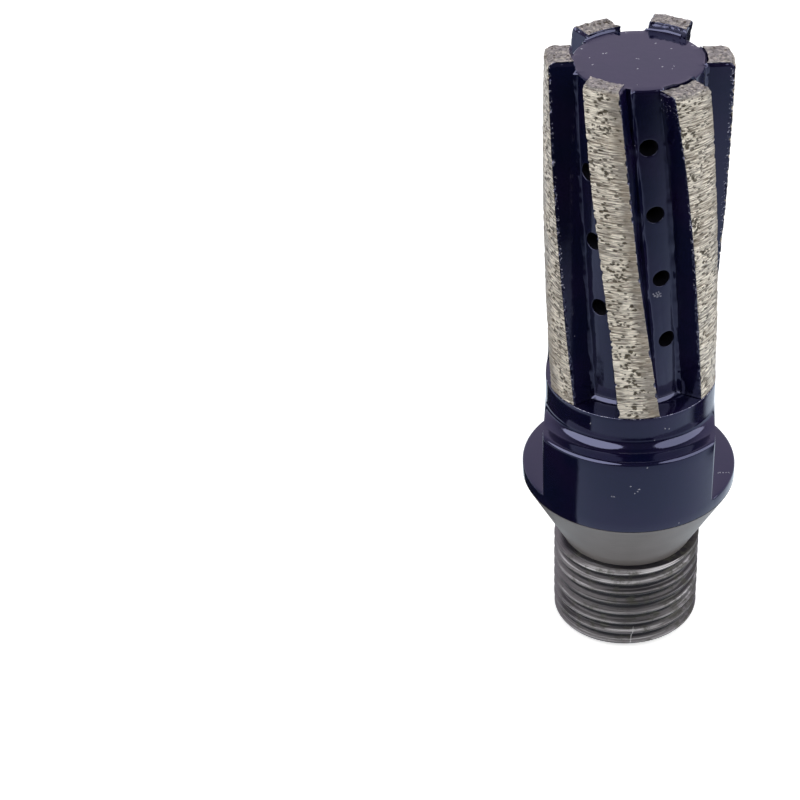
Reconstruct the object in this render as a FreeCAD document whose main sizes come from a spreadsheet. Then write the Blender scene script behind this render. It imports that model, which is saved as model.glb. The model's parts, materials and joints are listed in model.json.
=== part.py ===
import FreeCAD, Part
import math
import os
import Sketcher

# Water-fed finger bit for stone: a turned steel body with a pipe-thread shank,
# and six diamond segments brazed along its core in a left-hand twist.
# The body stands on its threaded end, with the origin at the centre of that end
# and +Z towards the cutting tip. Lengths are in millimetres, angles in degrees.

SIZES = {
    # Shank: the thread's outside, its lead-in chamfer, its run-out and the relief above it
    "thread_diameter": 20.955,
    "thread_length": 13.7,
    "thread_lead_in": 0.5,
    "thread_runout": 0.65,
    "relief_diameter": 18.6,
    "relief_length": 0.45,
    # Cone from the relief up to the collar
    "cone_height": 9.9,
    # Collar: a full round rim below, two wrench flats above it
    "collar_diameter": 30.0,
    "rim_height": 1.9,
    "flat_height": 9.9,
    "across_flats": 23.4,
    "collar_edge_chamfer": 0.4,
    # Neck ring that the segments stand on
    "neck_diameter": 23.7,
    "neck_height": 5.1,
    "neck_blend_radius": 1.6,
    # Core that carries the segments, thickened by a short cone at its foot
    "core_diameter": 17.0,
    "core_length": 47.3,
    "core_foot_cone": 0.9,
    "core_edge_chamfer": 0.25,
    # Water supply: a blind bore from the shank and small holes into the flutes
    "bore_diameter": 8.0,
    "bore_end_wall": 6.0,
    "bore_mouth_chamfer": 0.6,
    "water_hole_diameter": 2.4,
    "water_hole_pitch": 9.8,
    "first_water_hole": 9.9,
    "water_row_twist_ratio": 1.25,
    # Diamond segments
    "flute_pairs": 3,
    "segment_width": 5.1,
    "cutting_diameter": 23.6,
    "segment_overhang": 1.6,
    "segment_tip_radius": 1.0,
    "segment_lead": 575.0,
    "segment_foot_angle": 7.5,
}

# Heights above the threaded end, as expressions of the driving sizes
RUNOUT_TOP = "(Sizes.thread_length + Sizes.thread_runout)"
CONE_FOOT = f"({RUNOUT_TOP} + Sizes.relief_length)"
COLLAR_FOOT = f"({CONE_FOOT} + Sizes.cone_height)"
LEDGE = f"({COLLAR_FOOT} + Sizes.rim_height)"
SHOULDER = f"({LEDGE} + Sizes.flat_height)"
SEAT = f"({SHOULDER} + Sizes.neck_height)"
CORE_END = f"({SEAT} + Sizes.core_length)"
TIP = f"({CORE_END} + Sizes.segment_overhang)"

# Radii
THREAD_RADIUS = "(Sizes.thread_diameter / 2)"
RELIEF_RADIUS = "(Sizes.relief_diameter / 2)"
COLLAR_RADIUS = "(Sizes.collar_diameter / 2)"
NECK_RADIUS = "(Sizes.neck_diameter / 2)"
CORE_RADIUS = "(Sizes.core_diameter / 2)"
CUTTING_RADIUS = "(Sizes.cutting_diameter / 2)"

# Angles about the axis: the spacing of the segments and their turn for each millimetre of height
SEGMENT_SPACING = "(180 / Sizes.flute_pairs)"
SEGMENT_TURN = "(360 / Sizes.segment_lead)"

# Water holes: every second flute has one hole more, and the rows beside it lie half a pitch higher
LONG_ROW_HOLES = 4
SHORT_ROW_HOLES = 3

PARTS_FOLDER = "parts"


def make_sheet(document):
    """Put the driving sizes into a sheet, one named cell each."""
    sheet = document.addObject("Spreadsheet::Sheet", "Sizes")
    for row, (name, value) in enumerate(SIZES.items(), start=1):
        sheet.set(f"A{row}", name)
        sheet.set(f"B{row}", str(value))
        sheet.setAlias(f"B{row}", name)
    document.recompute()
    return sheet


class Outline:
    """Closed outline in a sketch, every corner held to the origin by expressions."""

    def __init__(self, sketch, across, up):
        self.sketch = sketch
        self.first = (across, up)
        self.last = (across, up)
        self.edges = []

    def number(self, expression):
        """Value of an expression, for drawing the edge before it is constrained."""
        return float(self.sketch.evalExpression(expression))

    def vector(self, point):
        return FreeCAD.Vector(self.number(point[0]), self.number(point[1]), 0)

    def add_edge(self, curve, target, start_vertex, end_vertex):
        """Add a curve, join it to the edge before it and hold its far end at the target."""
        edge = self.sketch.addGeometry(curve, False)
        if self.edges:
            before, before_vertex = self.edges[-1]
            self.sketch.addConstraint(
                Sketcher.Constraint("Coincident", before, before_vertex, edge, start_vertex))
        if target == self.first:
            start, start_of_first = self.start
            self.sketch.addConstraint(
                Sketcher.Constraint("Coincident", edge, end_vertex, start, start_of_first))
        else:
            self.hold(edge, end_vertex, target)
        if not self.edges:
            self.start = (edge, start_vertex)
            self.hold(edge, start_vertex, self.first)
        self.edges.append((edge, end_vertex))
        self.last = target
        return edge

    def hold(self, edge, vertex, point):
        """Fix one vertex at its distances from the sketch's origin."""
        for kind, axis, expression in (("DistanceX", -2, point[0]), ("DistanceY", -1, point[1])):
            if expression == "0":
                self.sketch.addConstraint(Sketcher.Constraint("PointOnObject", edge, vertex, axis))
                continue
            index = self.sketch.addConstraint(
                Sketcher.Constraint(kind, -1, 1, edge, vertex, self.number(expression)))
            self.sketch.setExpression(f"Constraints[{index}]", expression)

    def line_to(self, across, up):
        """Straight edge to the point."""
        target = (across, up)
        self.add_edge(Part.LineSegment(self.vector(self.last), self.vector(target)), target, 1, 2)

    def arc_to(self, across, up, centre, radius):
        """Round edge to the point, about the centre, by the shorter way."""
        target = (across, up)
        start = self.vector(self.last)
        end = self.vector(target)
        middle = self.vector(centre)
        circle = Part.Circle(middle, FreeCAD.Vector(0, 0, 1), self.number(radius))
        first_angle = math.atan2(start.y - middle.y, start.x - middle.x)
        last_angle = math.atan2(end.y - middle.y, end.x - middle.x)
        turns_left = (start - middle).cross(end - middle).z > 0
        if turns_left:
            edge = self.add_edge(Part.ArcOfCircle(circle, first_angle, last_angle), target, 1, 2)
        else:
            edge = self.add_edge(Part.ArcOfCircle(circle, last_angle, first_angle), target, 2, 1)
        index = self.sketch.addConstraint(
            Sketcher.Constraint("Radius", edge, self.number(radius)))
        self.sketch.setExpression(f"Constraints[{index}]", radius)

    def close(self):
        """Straight edge back to the first corner."""
        self.line_to(*self.first)


def origin_feature(body, role):
    """Plane or axis of a body's own origin."""
    return next(item for item in body.Origin.OriginFeatures if item.Role == role)


def plane_sketch(body, plane, name):
    """Sketch that lies on one of the body's origin planes."""
    sketch = body.newObject("Sketcher::SketchObject", name)
    sketch.AttachmentSupport = [(origin_feature(body, plane), "")]
    sketch.MapMode = "FlatFace"
    return sketch


def turn_blank(body):
    """Revolve the lathe profile: thread, relief, cone, collar, neck ring and core."""
    sketch = plane_sketch(body, "XZ_Plane", "TurnedProfile")
    outline = Outline(sketch, "0", "0")
    outline.line_to(f"{THREAD_RADIUS} - Sizes.thread_lead_in", "0")
    outline.line_to(THREAD_RADIUS, "Sizes.thread_lead_in")
    outline.line_to(THREAD_RADIUS, "Sizes.thread_length")
    outline.line_to(RELIEF_RADIUS, RUNOUT_TOP)
    outline.line_to(RELIEF_RADIUS, CONE_FOOT)
    outline.line_to(COLLAR_RADIUS, COLLAR_FOOT)
    collar_edge = "Sizes.collar_edge_chamfer"
    outline.line_to(COLLAR_RADIUS, f"{SHOULDER} - {collar_edge}")
    outline.line_to(f"{COLLAR_RADIUS} - {collar_edge}", SHOULDER)
    blend = "Sizes.neck_blend_radius"
    outline.line_to(f"{NECK_RADIUS} + {blend}", SHOULDER)
    outline.arc_to(
        NECK_RADIUS, f"{SHOULDER} + {blend}",
        (f"{NECK_RADIUS} + {blend}", f"{SHOULDER} + {blend}"), blend)
    outline.line_to(NECK_RADIUS, SEAT)
    foot = "Sizes.core_foot_cone"
    outline.line_to(f"{CORE_RADIUS} + {foot}", SEAT)
    outline.line_to(CORE_RADIUS, f"{SEAT} + {foot}")
    core_edge = "Sizes.core_edge_chamfer"
    outline.line_to(CORE_RADIUS, f"{CORE_END} - {core_edge}")
    outline.line_to(f"{CORE_RADIUS} - {core_edge}", CORE_END)
    outline.line_to("0", CORE_END)
    outline.close()
    blank = body.newObject("PartDesign::Revolution", "TurnedBlank")
    blank.Profile = sketch
    blank.ReferenceAxis = (sketch, ["V_Axis"])
    blank.Angle = 360
    return blank


def mill_flats(body):
    """Cut one wrench flat down to the rim and mirror it to the other side."""
    sketch = plane_sketch(body, "XY_Plane", "FlatProfile")
    sketch.setExpression("AttachmentOffset.Base.z", LEDGE)
    inner = "Sizes.across_flats / 2"
    outer = "Sizes.collar_diameter"
    outline = Outline(sketch, inner, f"-{outer}")
    outline.line_to(outer, f"-{outer}")
    outline.line_to(outer, outer)
    outline.line_to(inner, outer)
    outline.close()
    flat = body.newObject("PartDesign::Pocket", "WrenchFlat")
    flat.Profile = sketch
    flat.Type = "Length"
    flat.Reversed = True
    flat.setExpression("Length", "Sizes.flat_height + Sizes.neck_height")
    both = body.newObject("PartDesign::Mirrored", "WrenchFlats")
    both.Originals = [flat]
    both.MirrorPlane = (origin_feature(body, "YZ_Plane"), [""])
    body.Tip = both
    return both


def drill_bore(body):
    """Drill the blind water bore up the axis and break the edge of its mouth."""
    sketch = plane_sketch(body, "XY_Plane", "BoreCircle")
    circle = sketch.addGeometry(
        Part.Circle(FreeCAD.Vector(0, 0, 0), FreeCAD.Vector(0, 0, 1), SIZES["bore_diameter"] / 2))
    sketch.addConstraint(Sketcher.Constraint("Coincident", circle, 3, -1, 1))
    index = sketch.addConstraint(
        Sketcher.Constraint("Diameter", circle, SIZES["bore_diameter"]))
    sketch.setExpression(f"Constraints[{index}]", "Sizes.bore_diameter")
    body.Document.recompute()
    bore = body.newObject("PartDesign::Hole", "WaterBore")
    bore.Profile = sketch
    bore.Reversed = True
    bore.DepthType = "Dimension"
    bore.DrillPoint = "Angled"
    bore.HoleCutType = "Countersink"
    bore.HoleCutCustomValues = True
    bore.HoleCutCountersinkAngle = 90
    bore.setExpression("Diameter", "Sizes.bore_diameter")
    bore.setExpression("Depth", f"{CORE_END} - Sizes.bore_end_wall")
    bore.setExpression("HoleCutDiameter", "Sizes.bore_diameter + 2 * Sizes.bore_mouth_chamfer")
    return bore


def drill_water_hole(body, name, flute, height):
    """Drill one radial hole from the bore out through the middle of a flute."""
    middle = f"(Sizes.first_water_hole + {(LONG_ROW_HOLES - 1) / 2} * Sizes.water_hole_pitch)"
    flute_angle = (
        f"Sizes.segment_foot_angle + ({flute} + 0.5) * {SEGMENT_SPACING} - {middle} * {SEGMENT_TURN}")
    lean = f"({height} - {middle}) * {SEGMENT_TURN} * Sizes.water_row_twist_ratio"
    sketch = plane_sketch(body, "XZ_Plane", f"{name}Circle")
    sketch.AttachmentOffset = FreeCAD.Placement(
        FreeCAD.Vector(0, 0, 0), FreeCAD.Rotation(FreeCAD.Vector(0, 1, 0), 1))
    sketch.setExpression("AttachmentOffset.Rotation.Angle", f"({flute_angle} - {lean}) * 1 deg")
    radius = SIZES["water_hole_diameter"] / 2
    circle = sketch.addGeometry(
        Part.Circle(FreeCAD.Vector(0, SIZES["thread_length"], 0), FreeCAD.Vector(0, 0, 1), radius))
    sketch.addConstraint(Sketcher.Constraint("PointOnObject", circle, 3, -2))
    across = sketch.addConstraint(Sketcher.Constraint("Diameter", circle, 2 * radius))
    sketch.setExpression(f"Constraints[{across}]", "Sizes.water_hole_diameter")
    up = sketch.addConstraint(
        Sketcher.Constraint("DistanceY", -1, 1, circle, 3, SIZES["thread_length"]))
    sketch.setExpression(f"Constraints[{up}]", f"{SEAT} + {height}")
    hole = body.newObject("PartDesign::Pocket", name)
    hole.Profile = sketch
    hole.Type = "Length"
    hole.Reversed = True
    hole.setExpression("Length", "Sizes.core_diameter")
    return hole


def drill_water_holes(body):
    """Drill a long and a short row in two neighbouring flutes and repeat them round the core."""
    holes = []
    for number in range(LONG_ROW_HOLES):
        height = f"(Sizes.first_water_hole + {number} * Sizes.water_hole_pitch)"
        holes.append(drill_water_hole(body, f"LongRowHole{number + 1}", 0, height))
    for number in range(SHORT_ROW_HOLES):
        height = f"(Sizes.first_water_hole + {number + 0.5} * Sizes.water_hole_pitch)"
        holes.append(drill_water_hole(body, f"ShortRowHole{number + 1}", -1, height))
    rows = body.newObject("PartDesign::PolarPattern", "WaterHoleRows")
    rows.Originals = holes
    rows.Axis = (origin_feature(body, "Z_Axis"), [""])
    rows.Angle = 360
    rows.setExpression("Occurrences", "Sizes.flute_pairs")
    body.Tip = rows
    return rows


def make_bit_body(document):
    """Steel body, turned, milled and drilled from one bar."""
    body = document.addObject("PartDesign::Body", "BitBody")
    body.Label = "bit_body"
    features = [turn_blank(body), mill_flats(body), drill_bore(body), drill_water_holes(body)]
    document.recompute()
    volumes = [feature.Shape.Volume for feature in features]
    if any(later >= earlier for earlier, later in zip(volumes, volumes[1:])):
        raise RuntimeError(f"a cut in the body removed nothing: {volumes}")
    return body


def make_segment_ring(document, body):
    """Round sleeve over the core with the segments' outside, cut out where the body is."""
    sketch = document.addObject("Sketcher::SketchObject", "SegmentRingProfile")
    sketch.Placement = FreeCAD.Placement(
        FreeCAD.Vector(0, 0, 0), FreeCAD.Rotation(FreeCAD.Vector(1, 0, 0), 90))
    tip_radius = "Sizes.segment_tip_radius"
    outline = Outline(sketch, CORE_RADIUS, SEAT)
    outline.line_to(CUTTING_RADIUS, SEAT)
    outline.line_to(CUTTING_RADIUS, f"{TIP} - {tip_radius}")
    outline.arc_to(
        f"{CUTTING_RADIUS} - {tip_radius}", TIP,
        (f"{CUTTING_RADIUS} - {tip_radius}", f"{TIP} - {tip_radius}"), tip_radius)
    outline.line_to(CORE_RADIUS, TIP)
    outline.close()
    sleeve = document.addObject("Part::Revolution", "SegmentSleeve")
    sleeve.Source = sketch
    sleeve.Axis = (0, 0, 1)
    sleeve.Angle = 360
    sleeve.Solid = True
    ring = document.addObject("Part::Cut", "SegmentRing")
    ring.Base = sleeve
    ring.Tool = body
    return ring


def make_segment(document, ring, number):
    """Diamond segment: a straight-sided bar swept up the twist, trimmed by the ring."""
    angle = f"(Sizes.segment_foot_angle + {number} * {SEGMENT_SPACING} - 90) * 1 deg"
    spine = document.addObject("Part::Helix", f"SegmentPath{number + 1}")
    spine.LocalCoord = "Left-handed"
    spine.setExpression("Pitch", "Sizes.segment_lead")
    spine.setExpression("Height", f"{TIP} - {SEAT}")
    spine.setExpression("Radius", CUTTING_RADIUS)
    section = document.addObject("Sketcher::SketchObject", f"SegmentSection{number + 1}")
    half_width = "Sizes.segment_width / 2"
    inside = "Sizes.bore_diameter / 2"
    outline = Outline(section, inside, f"-{half_width}")
    outline.line_to("Sizes.cutting_diameter", f"-{half_width}")
    outline.line_to("Sizes.cutting_diameter", half_width)
    outline.line_to(inside, half_width)
    outline.close()
    for item in (spine, section):
        item.setExpression("Placement.Base.z", SEAT)
        item.setExpression("Placement.Rotation.Angle", angle)
    bar = document.addObject("Part::Sweep", f"SegmentBar{number + 1}")
    bar.Sections = [section]
    bar.Spine = (spine, ["Edge1"])
    bar.Solid = True
    bar.Frenet = True
    segment = document.addObject("Part::Common", f"DiamondSegment{number + 1}")
    segment.Base = bar
    segment.Tool = ring
    segment.Label = f"diamond_segment_{number + 1}"
    return segment


def check_document(document, sub_parts):
    """Stop if any object failed, or a sub-part isn't one valid solid."""
    for item in document.Objects:
        if "Invalid" in item.State or "Error" in item.State:
            raise RuntimeError(f"{item.Name} failed: {item.State}")
    for item in sub_parts:
        shape = item.Shape
        if shape.isNull() or not shape.isValid() or len(shape.Solids) != 1:
            raise RuntimeError(f"{item.Label} isn't one valid solid")


def main():
    document = FreeCAD.newDocument("FingerBit")
    make_sheet(document)
    body = make_bit_body(document)
    ring = make_segment_ring(document, body)
    segment_count = 2 * int(document.Sizes.flute_pairs)
    segments = [make_segment(document, ring, number) for number in range(segment_count)]
    document.recompute()
    sub_parts = [body, *segments]
    check_document(document, sub_parts)
    os.makedirs(PARTS_FOLDER, exist_ok=True)
    for item in sub_parts:
        item.Shape.exportStep(f"{PARTS_FOLDER}/{item.Label}.step")
        print(f"{item.Label}: {item.Shape.Volume:.1f} mm3, {len(item.Shape.Faces)} faces")


main()
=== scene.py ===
"""Dressed model of a water-fed finger bit for stone.

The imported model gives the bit's true sizes. This script builds the surfaces that its plain solids
lack: the cut thread, soft painted edges, pierced flutes with braze along the segment roots, and
ground diamond segments with open grit. Shapes are worked out in millimetres, with +Z up the bit's
axis, and become metres when a mesh is made. An azimuth is measured from -Y, which faces the camera,
towards +X.
"""

import itertools
import json
import logging
import math
from dataclasses import dataclass, field
from enum import Enum

import bmesh
import bpy
import numpy as np
from mathutils import Matrix, Vector

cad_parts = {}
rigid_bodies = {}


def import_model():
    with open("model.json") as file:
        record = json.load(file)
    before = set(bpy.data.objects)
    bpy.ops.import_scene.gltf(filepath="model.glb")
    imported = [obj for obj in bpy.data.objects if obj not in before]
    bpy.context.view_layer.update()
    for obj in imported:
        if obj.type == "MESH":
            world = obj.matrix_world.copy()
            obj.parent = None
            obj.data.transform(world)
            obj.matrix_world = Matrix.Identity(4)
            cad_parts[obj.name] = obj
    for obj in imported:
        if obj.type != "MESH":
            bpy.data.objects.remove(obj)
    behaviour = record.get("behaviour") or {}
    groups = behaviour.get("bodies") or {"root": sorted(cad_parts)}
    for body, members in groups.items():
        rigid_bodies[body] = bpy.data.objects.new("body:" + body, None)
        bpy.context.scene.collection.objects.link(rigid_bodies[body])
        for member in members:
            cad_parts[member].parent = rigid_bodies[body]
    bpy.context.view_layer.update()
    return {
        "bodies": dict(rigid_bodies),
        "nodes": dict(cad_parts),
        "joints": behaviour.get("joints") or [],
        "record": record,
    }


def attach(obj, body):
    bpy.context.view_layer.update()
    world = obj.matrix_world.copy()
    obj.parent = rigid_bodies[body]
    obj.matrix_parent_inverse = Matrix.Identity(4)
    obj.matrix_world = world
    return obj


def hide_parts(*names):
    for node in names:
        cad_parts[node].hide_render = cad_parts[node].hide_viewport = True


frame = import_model()

log = logging.getLogger("finger_bit")

MM = 0.001
BODY = "root"
BODY_NODE = "bit_body"
SEGMENT_NODE = "diamond_segment_{}"
THREAD_PITCH = 25.4 / 14.0
SEGMENT_WIDTH = 5.1
MOUTH_CHAMFER = 0.6
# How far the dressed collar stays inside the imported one, in millimetres.
BOX_MARGIN = 0.012


class Slot(Enum):
    """Material slots of the record, which the log names as each piece's finish."""

    PAINT = "navy_paint"
    STEEL = "bare_steel"
    MATRIX = "diamond_matrix"


class Mark(Enum):
    """Values kept on the vertices for the finishes to read, each from 0 to 1."""

    CREST = "crest"
    WEAR = "wear"
    PIT = "pit"
    TAIL = "tail"
    TOP = "top"
    CALM = "calm"


def unit_across(azimuth: np.ndarray) -> np.ndarray:
    """Directions out from the axis at azimuths in degrees."""
    angle = np.radians(azimuth)
    return np.stack([np.sin(angle), -np.cos(angle), np.zeros_like(angle)], axis=-1)


def unit_along(azimuth: np.ndarray) -> np.ndarray:
    """Directions round the axis, towards rising azimuth, at azimuths in degrees."""
    angle = np.radians(azimuth)
    return np.stack([np.cos(angle), np.sin(angle), np.zeros_like(angle)], axis=-1)


def smooth_step(value: np.ndarray, low: float, high: float) -> np.ndarray:
    """Rise smoothly from 0 at the low value to 1 at the high one.

    Args:
        value: Numbers to map.
        low: Where the rise starts.
        high: Where the rise ends.

    Returns:
        Numbers from 0 to 1, as many as were given.
    """
    share = np.clip((value - low) / (high - low), 0.0, 1.0)
    return share * share * (3.0 - 2.0 * share)


def soft_minimum(first: np.ndarray, second: np.ndarray, width: float) -> np.ndarray:
    """Lesser of two lengths, rounded over where they cross.

    Args:
        first: Lengths in millimetres.
        second: Lengths in millimetres.
        width: How far apart the two still blend, in millimetres.

    Returns:
        The blended lengths.
    """
    share = np.clip(0.5 + 0.5 * (second - first) / width, 0.0, 1.0)
    return second + (first - second) * share - width * share * (1.0 - share)


class Grain:
    """Smooth random field in space that is the same on each run."""

    TABLE_SIZE = 256

    def __init__(self, seed: int) -> None:
        """Draw the field's tables from a seed."""
        draw = np.random.default_rng(seed)
        self.order = draw.permutation(self.TABLE_SIZE)
        self.values = draw.uniform(-1.0, 1.0, self.TABLE_SIZE)

    def at(self, points: np.ndarray, size: tuple[float, float, float]) -> np.ndarray:
        """Sample the field.

        Args:
            points: Places, one row of three lengths each.
            size: Length of one wave of the field along each axis.

        Returns:
            One value from -1 to 1 for each place.
        """
        scaled = points / np.asarray(size)
        cell = np.floor(scaled).astype(int)
        share = scaled - cell
        share = share * share * (3.0 - 2.0 * share)
        total = np.zeros(points.shape[:-1])
        for corner in itertools.product((0, 1), repeat=3):
            index = np.zeros(points.shape[:-1], dtype=int)
            weight = np.ones(points.shape[:-1])
            for axis, step in enumerate(corner):
                index = self.order[(index + cell[..., axis] + step) % self.TABLE_SIZE]
                weight *= share[..., axis] if step else 1.0 - share[..., axis]
            total += self.values[index] * weight
        return total

    def along(self, lengths: np.ndarray, size: float, line: float = 0.0) -> np.ndarray:
        """Sample the field along a line.

        Args:
            lengths: Places along the line.
            size: Length of one wave of the field.
            line: Number of the line, where each number gives another run of values.

        Returns:
            One value from -1 to 1 for each place.
        """
        points = np.stack([lengths, np.full_like(lengths, line), np.zeros_like(lengths)], axis=-1)
        return self.at(points, (size, 1.0, 1.0))


@dataclass(frozen=True)
class BitSizes:
    """Sizes of the bit in millimetres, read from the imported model."""

    thread_radius: float
    thread_top: float
    relief_radius: float
    cone_foot: float
    collar_radius: float
    collar_foot: float
    ledge: float
    shoulder: float
    half_flats: float
    neck_radius: float
    seat: float
    core_radius: float
    core_end: float
    cutting_radius: float
    tip: float
    bore_radius: float
    bore_top: float

    @classmethod
    def from_frame(cls, packed: dict) -> "BitSizes":
        """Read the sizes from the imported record's mounts and the nodes' corners.


        Returns:
            The sizes in millimetres.
        """
        mounts = {mount["name"]: mount for mount in packed["record"]["mounts"]}
        thread_radius = mounts["shank_thread"]["dims"]["r_mm"]
        bore = mounts["water_bore"]
        half_flats = mounts["wrench_flat_right"]["pos_m"][0] / MM
        body = node_points(packed, BODY_NODE)
        radii = np.hypot(body[:, 0], body[:, 1])
        segment = node_points(packed, SEGMENT_NODE.format(1))
        collar_radius = float(radii.max()) - BOX_MARGIN
        seat = float(segment[:, 2].min())
        thread_top = float(body[np.isclose(radii, thread_radius, atol=0.01), 2].max())
        collar_foot = float(body[radii > collar_radius - 0.01, 2].min())
        relief = body[(body[:, 2] > thread_top + 0.1) & (body[:, 2] < collar_foot - 0.1)]
        relief_radius = float(np.hypot(relief[:, 0], relief[:, 1]).min())
        at_relief = body[np.isclose(radii, relief_radius, atol=0.01), 2]
        on_flat = np.isclose(np.abs(body[:, 0]), half_flats, atol=0.01)
        below_seat = body[:, 2] < seat - 0.01
        near_collar = below_seat & (body[:, 2] > collar_foot) & (radii < collar_radius - 0.3)
        shoulder = float(body[near_collar & (radii > half_flats + 1.7) & ~on_flat, 2].max())
        neck_radius = float(radii[np.isclose(body[:, 2], seat, atol=0.01)].max())
        core_end = float(body[:, 2].max())
        at_middle = (body[:, 2] > (seat + core_end) / 2) & (radii > bore["dims"]["r_mm"] + 1.0)
        return cls(
            thread_radius=thread_radius, thread_top=thread_top,
            relief_radius=relief_radius, cone_foot=float(at_relief.max()),
            collar_radius=collar_radius,
            collar_foot=collar_foot, ledge=float(body[on_flat, 2].min()), shoulder=shoulder,
            half_flats=half_flats, neck_radius=neck_radius, seat=seat,
            core_radius=float(radii[at_middle].max()), core_end=core_end,
            cutting_radius=float(np.hypot(segment[:, 0], segment[:, 1]).max()),
            tip=float(segment[:, 2].max()), bore_radius=bore["dims"]["r_mm"],
            bore_top=bore["dims"]["length_mm"] + MOUTH_CHAMFER)


def node_points(packed: dict, node: str) -> np.ndarray:
    """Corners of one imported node, in millimetres.

    Args:
        node: Name of the node.

    Returns:
        One row of three lengths for each corner.
    """
    mesh = packed["nodes"][node].data
    flat = np.zeros(len(mesh.vertices) * 3)
    mesh.vertices.foreach_get("co", flat)
    return flat.reshape(-1, 3) / MM


@dataclass(frozen=True)
class Twist:
    """Left-hand twist that the segments and the water holes follow round the core."""

    foot_height: float
    foot_azimuth: float = 7.5
    lead: float = 575.0
    count: int = 6

    @property
    def spacing(self) -> float:
        """Degrees from one segment to the next."""
        return 360.0 / self.count

    def turn(self, height: np.ndarray) -> np.ndarray:
        """Degrees that the twist has turned at a height."""
        return 360.0 / self.lead * (height - self.foot_height)

    def segment_azimuth(self, number: int, height: np.ndarray) -> np.ndarray:
        """Azimuth of the middle of a segment, counted from 0, at heights in millimetres."""
        return self.foot_azimuth + number * self.spacing - self.turn(height)

    def flute_middle(self, flute: int) -> float:
        """Untwisted azimuth of the middle of the flute after a segment."""
        return self.foot_azimuth + (flute + 0.5) * self.spacing


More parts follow.
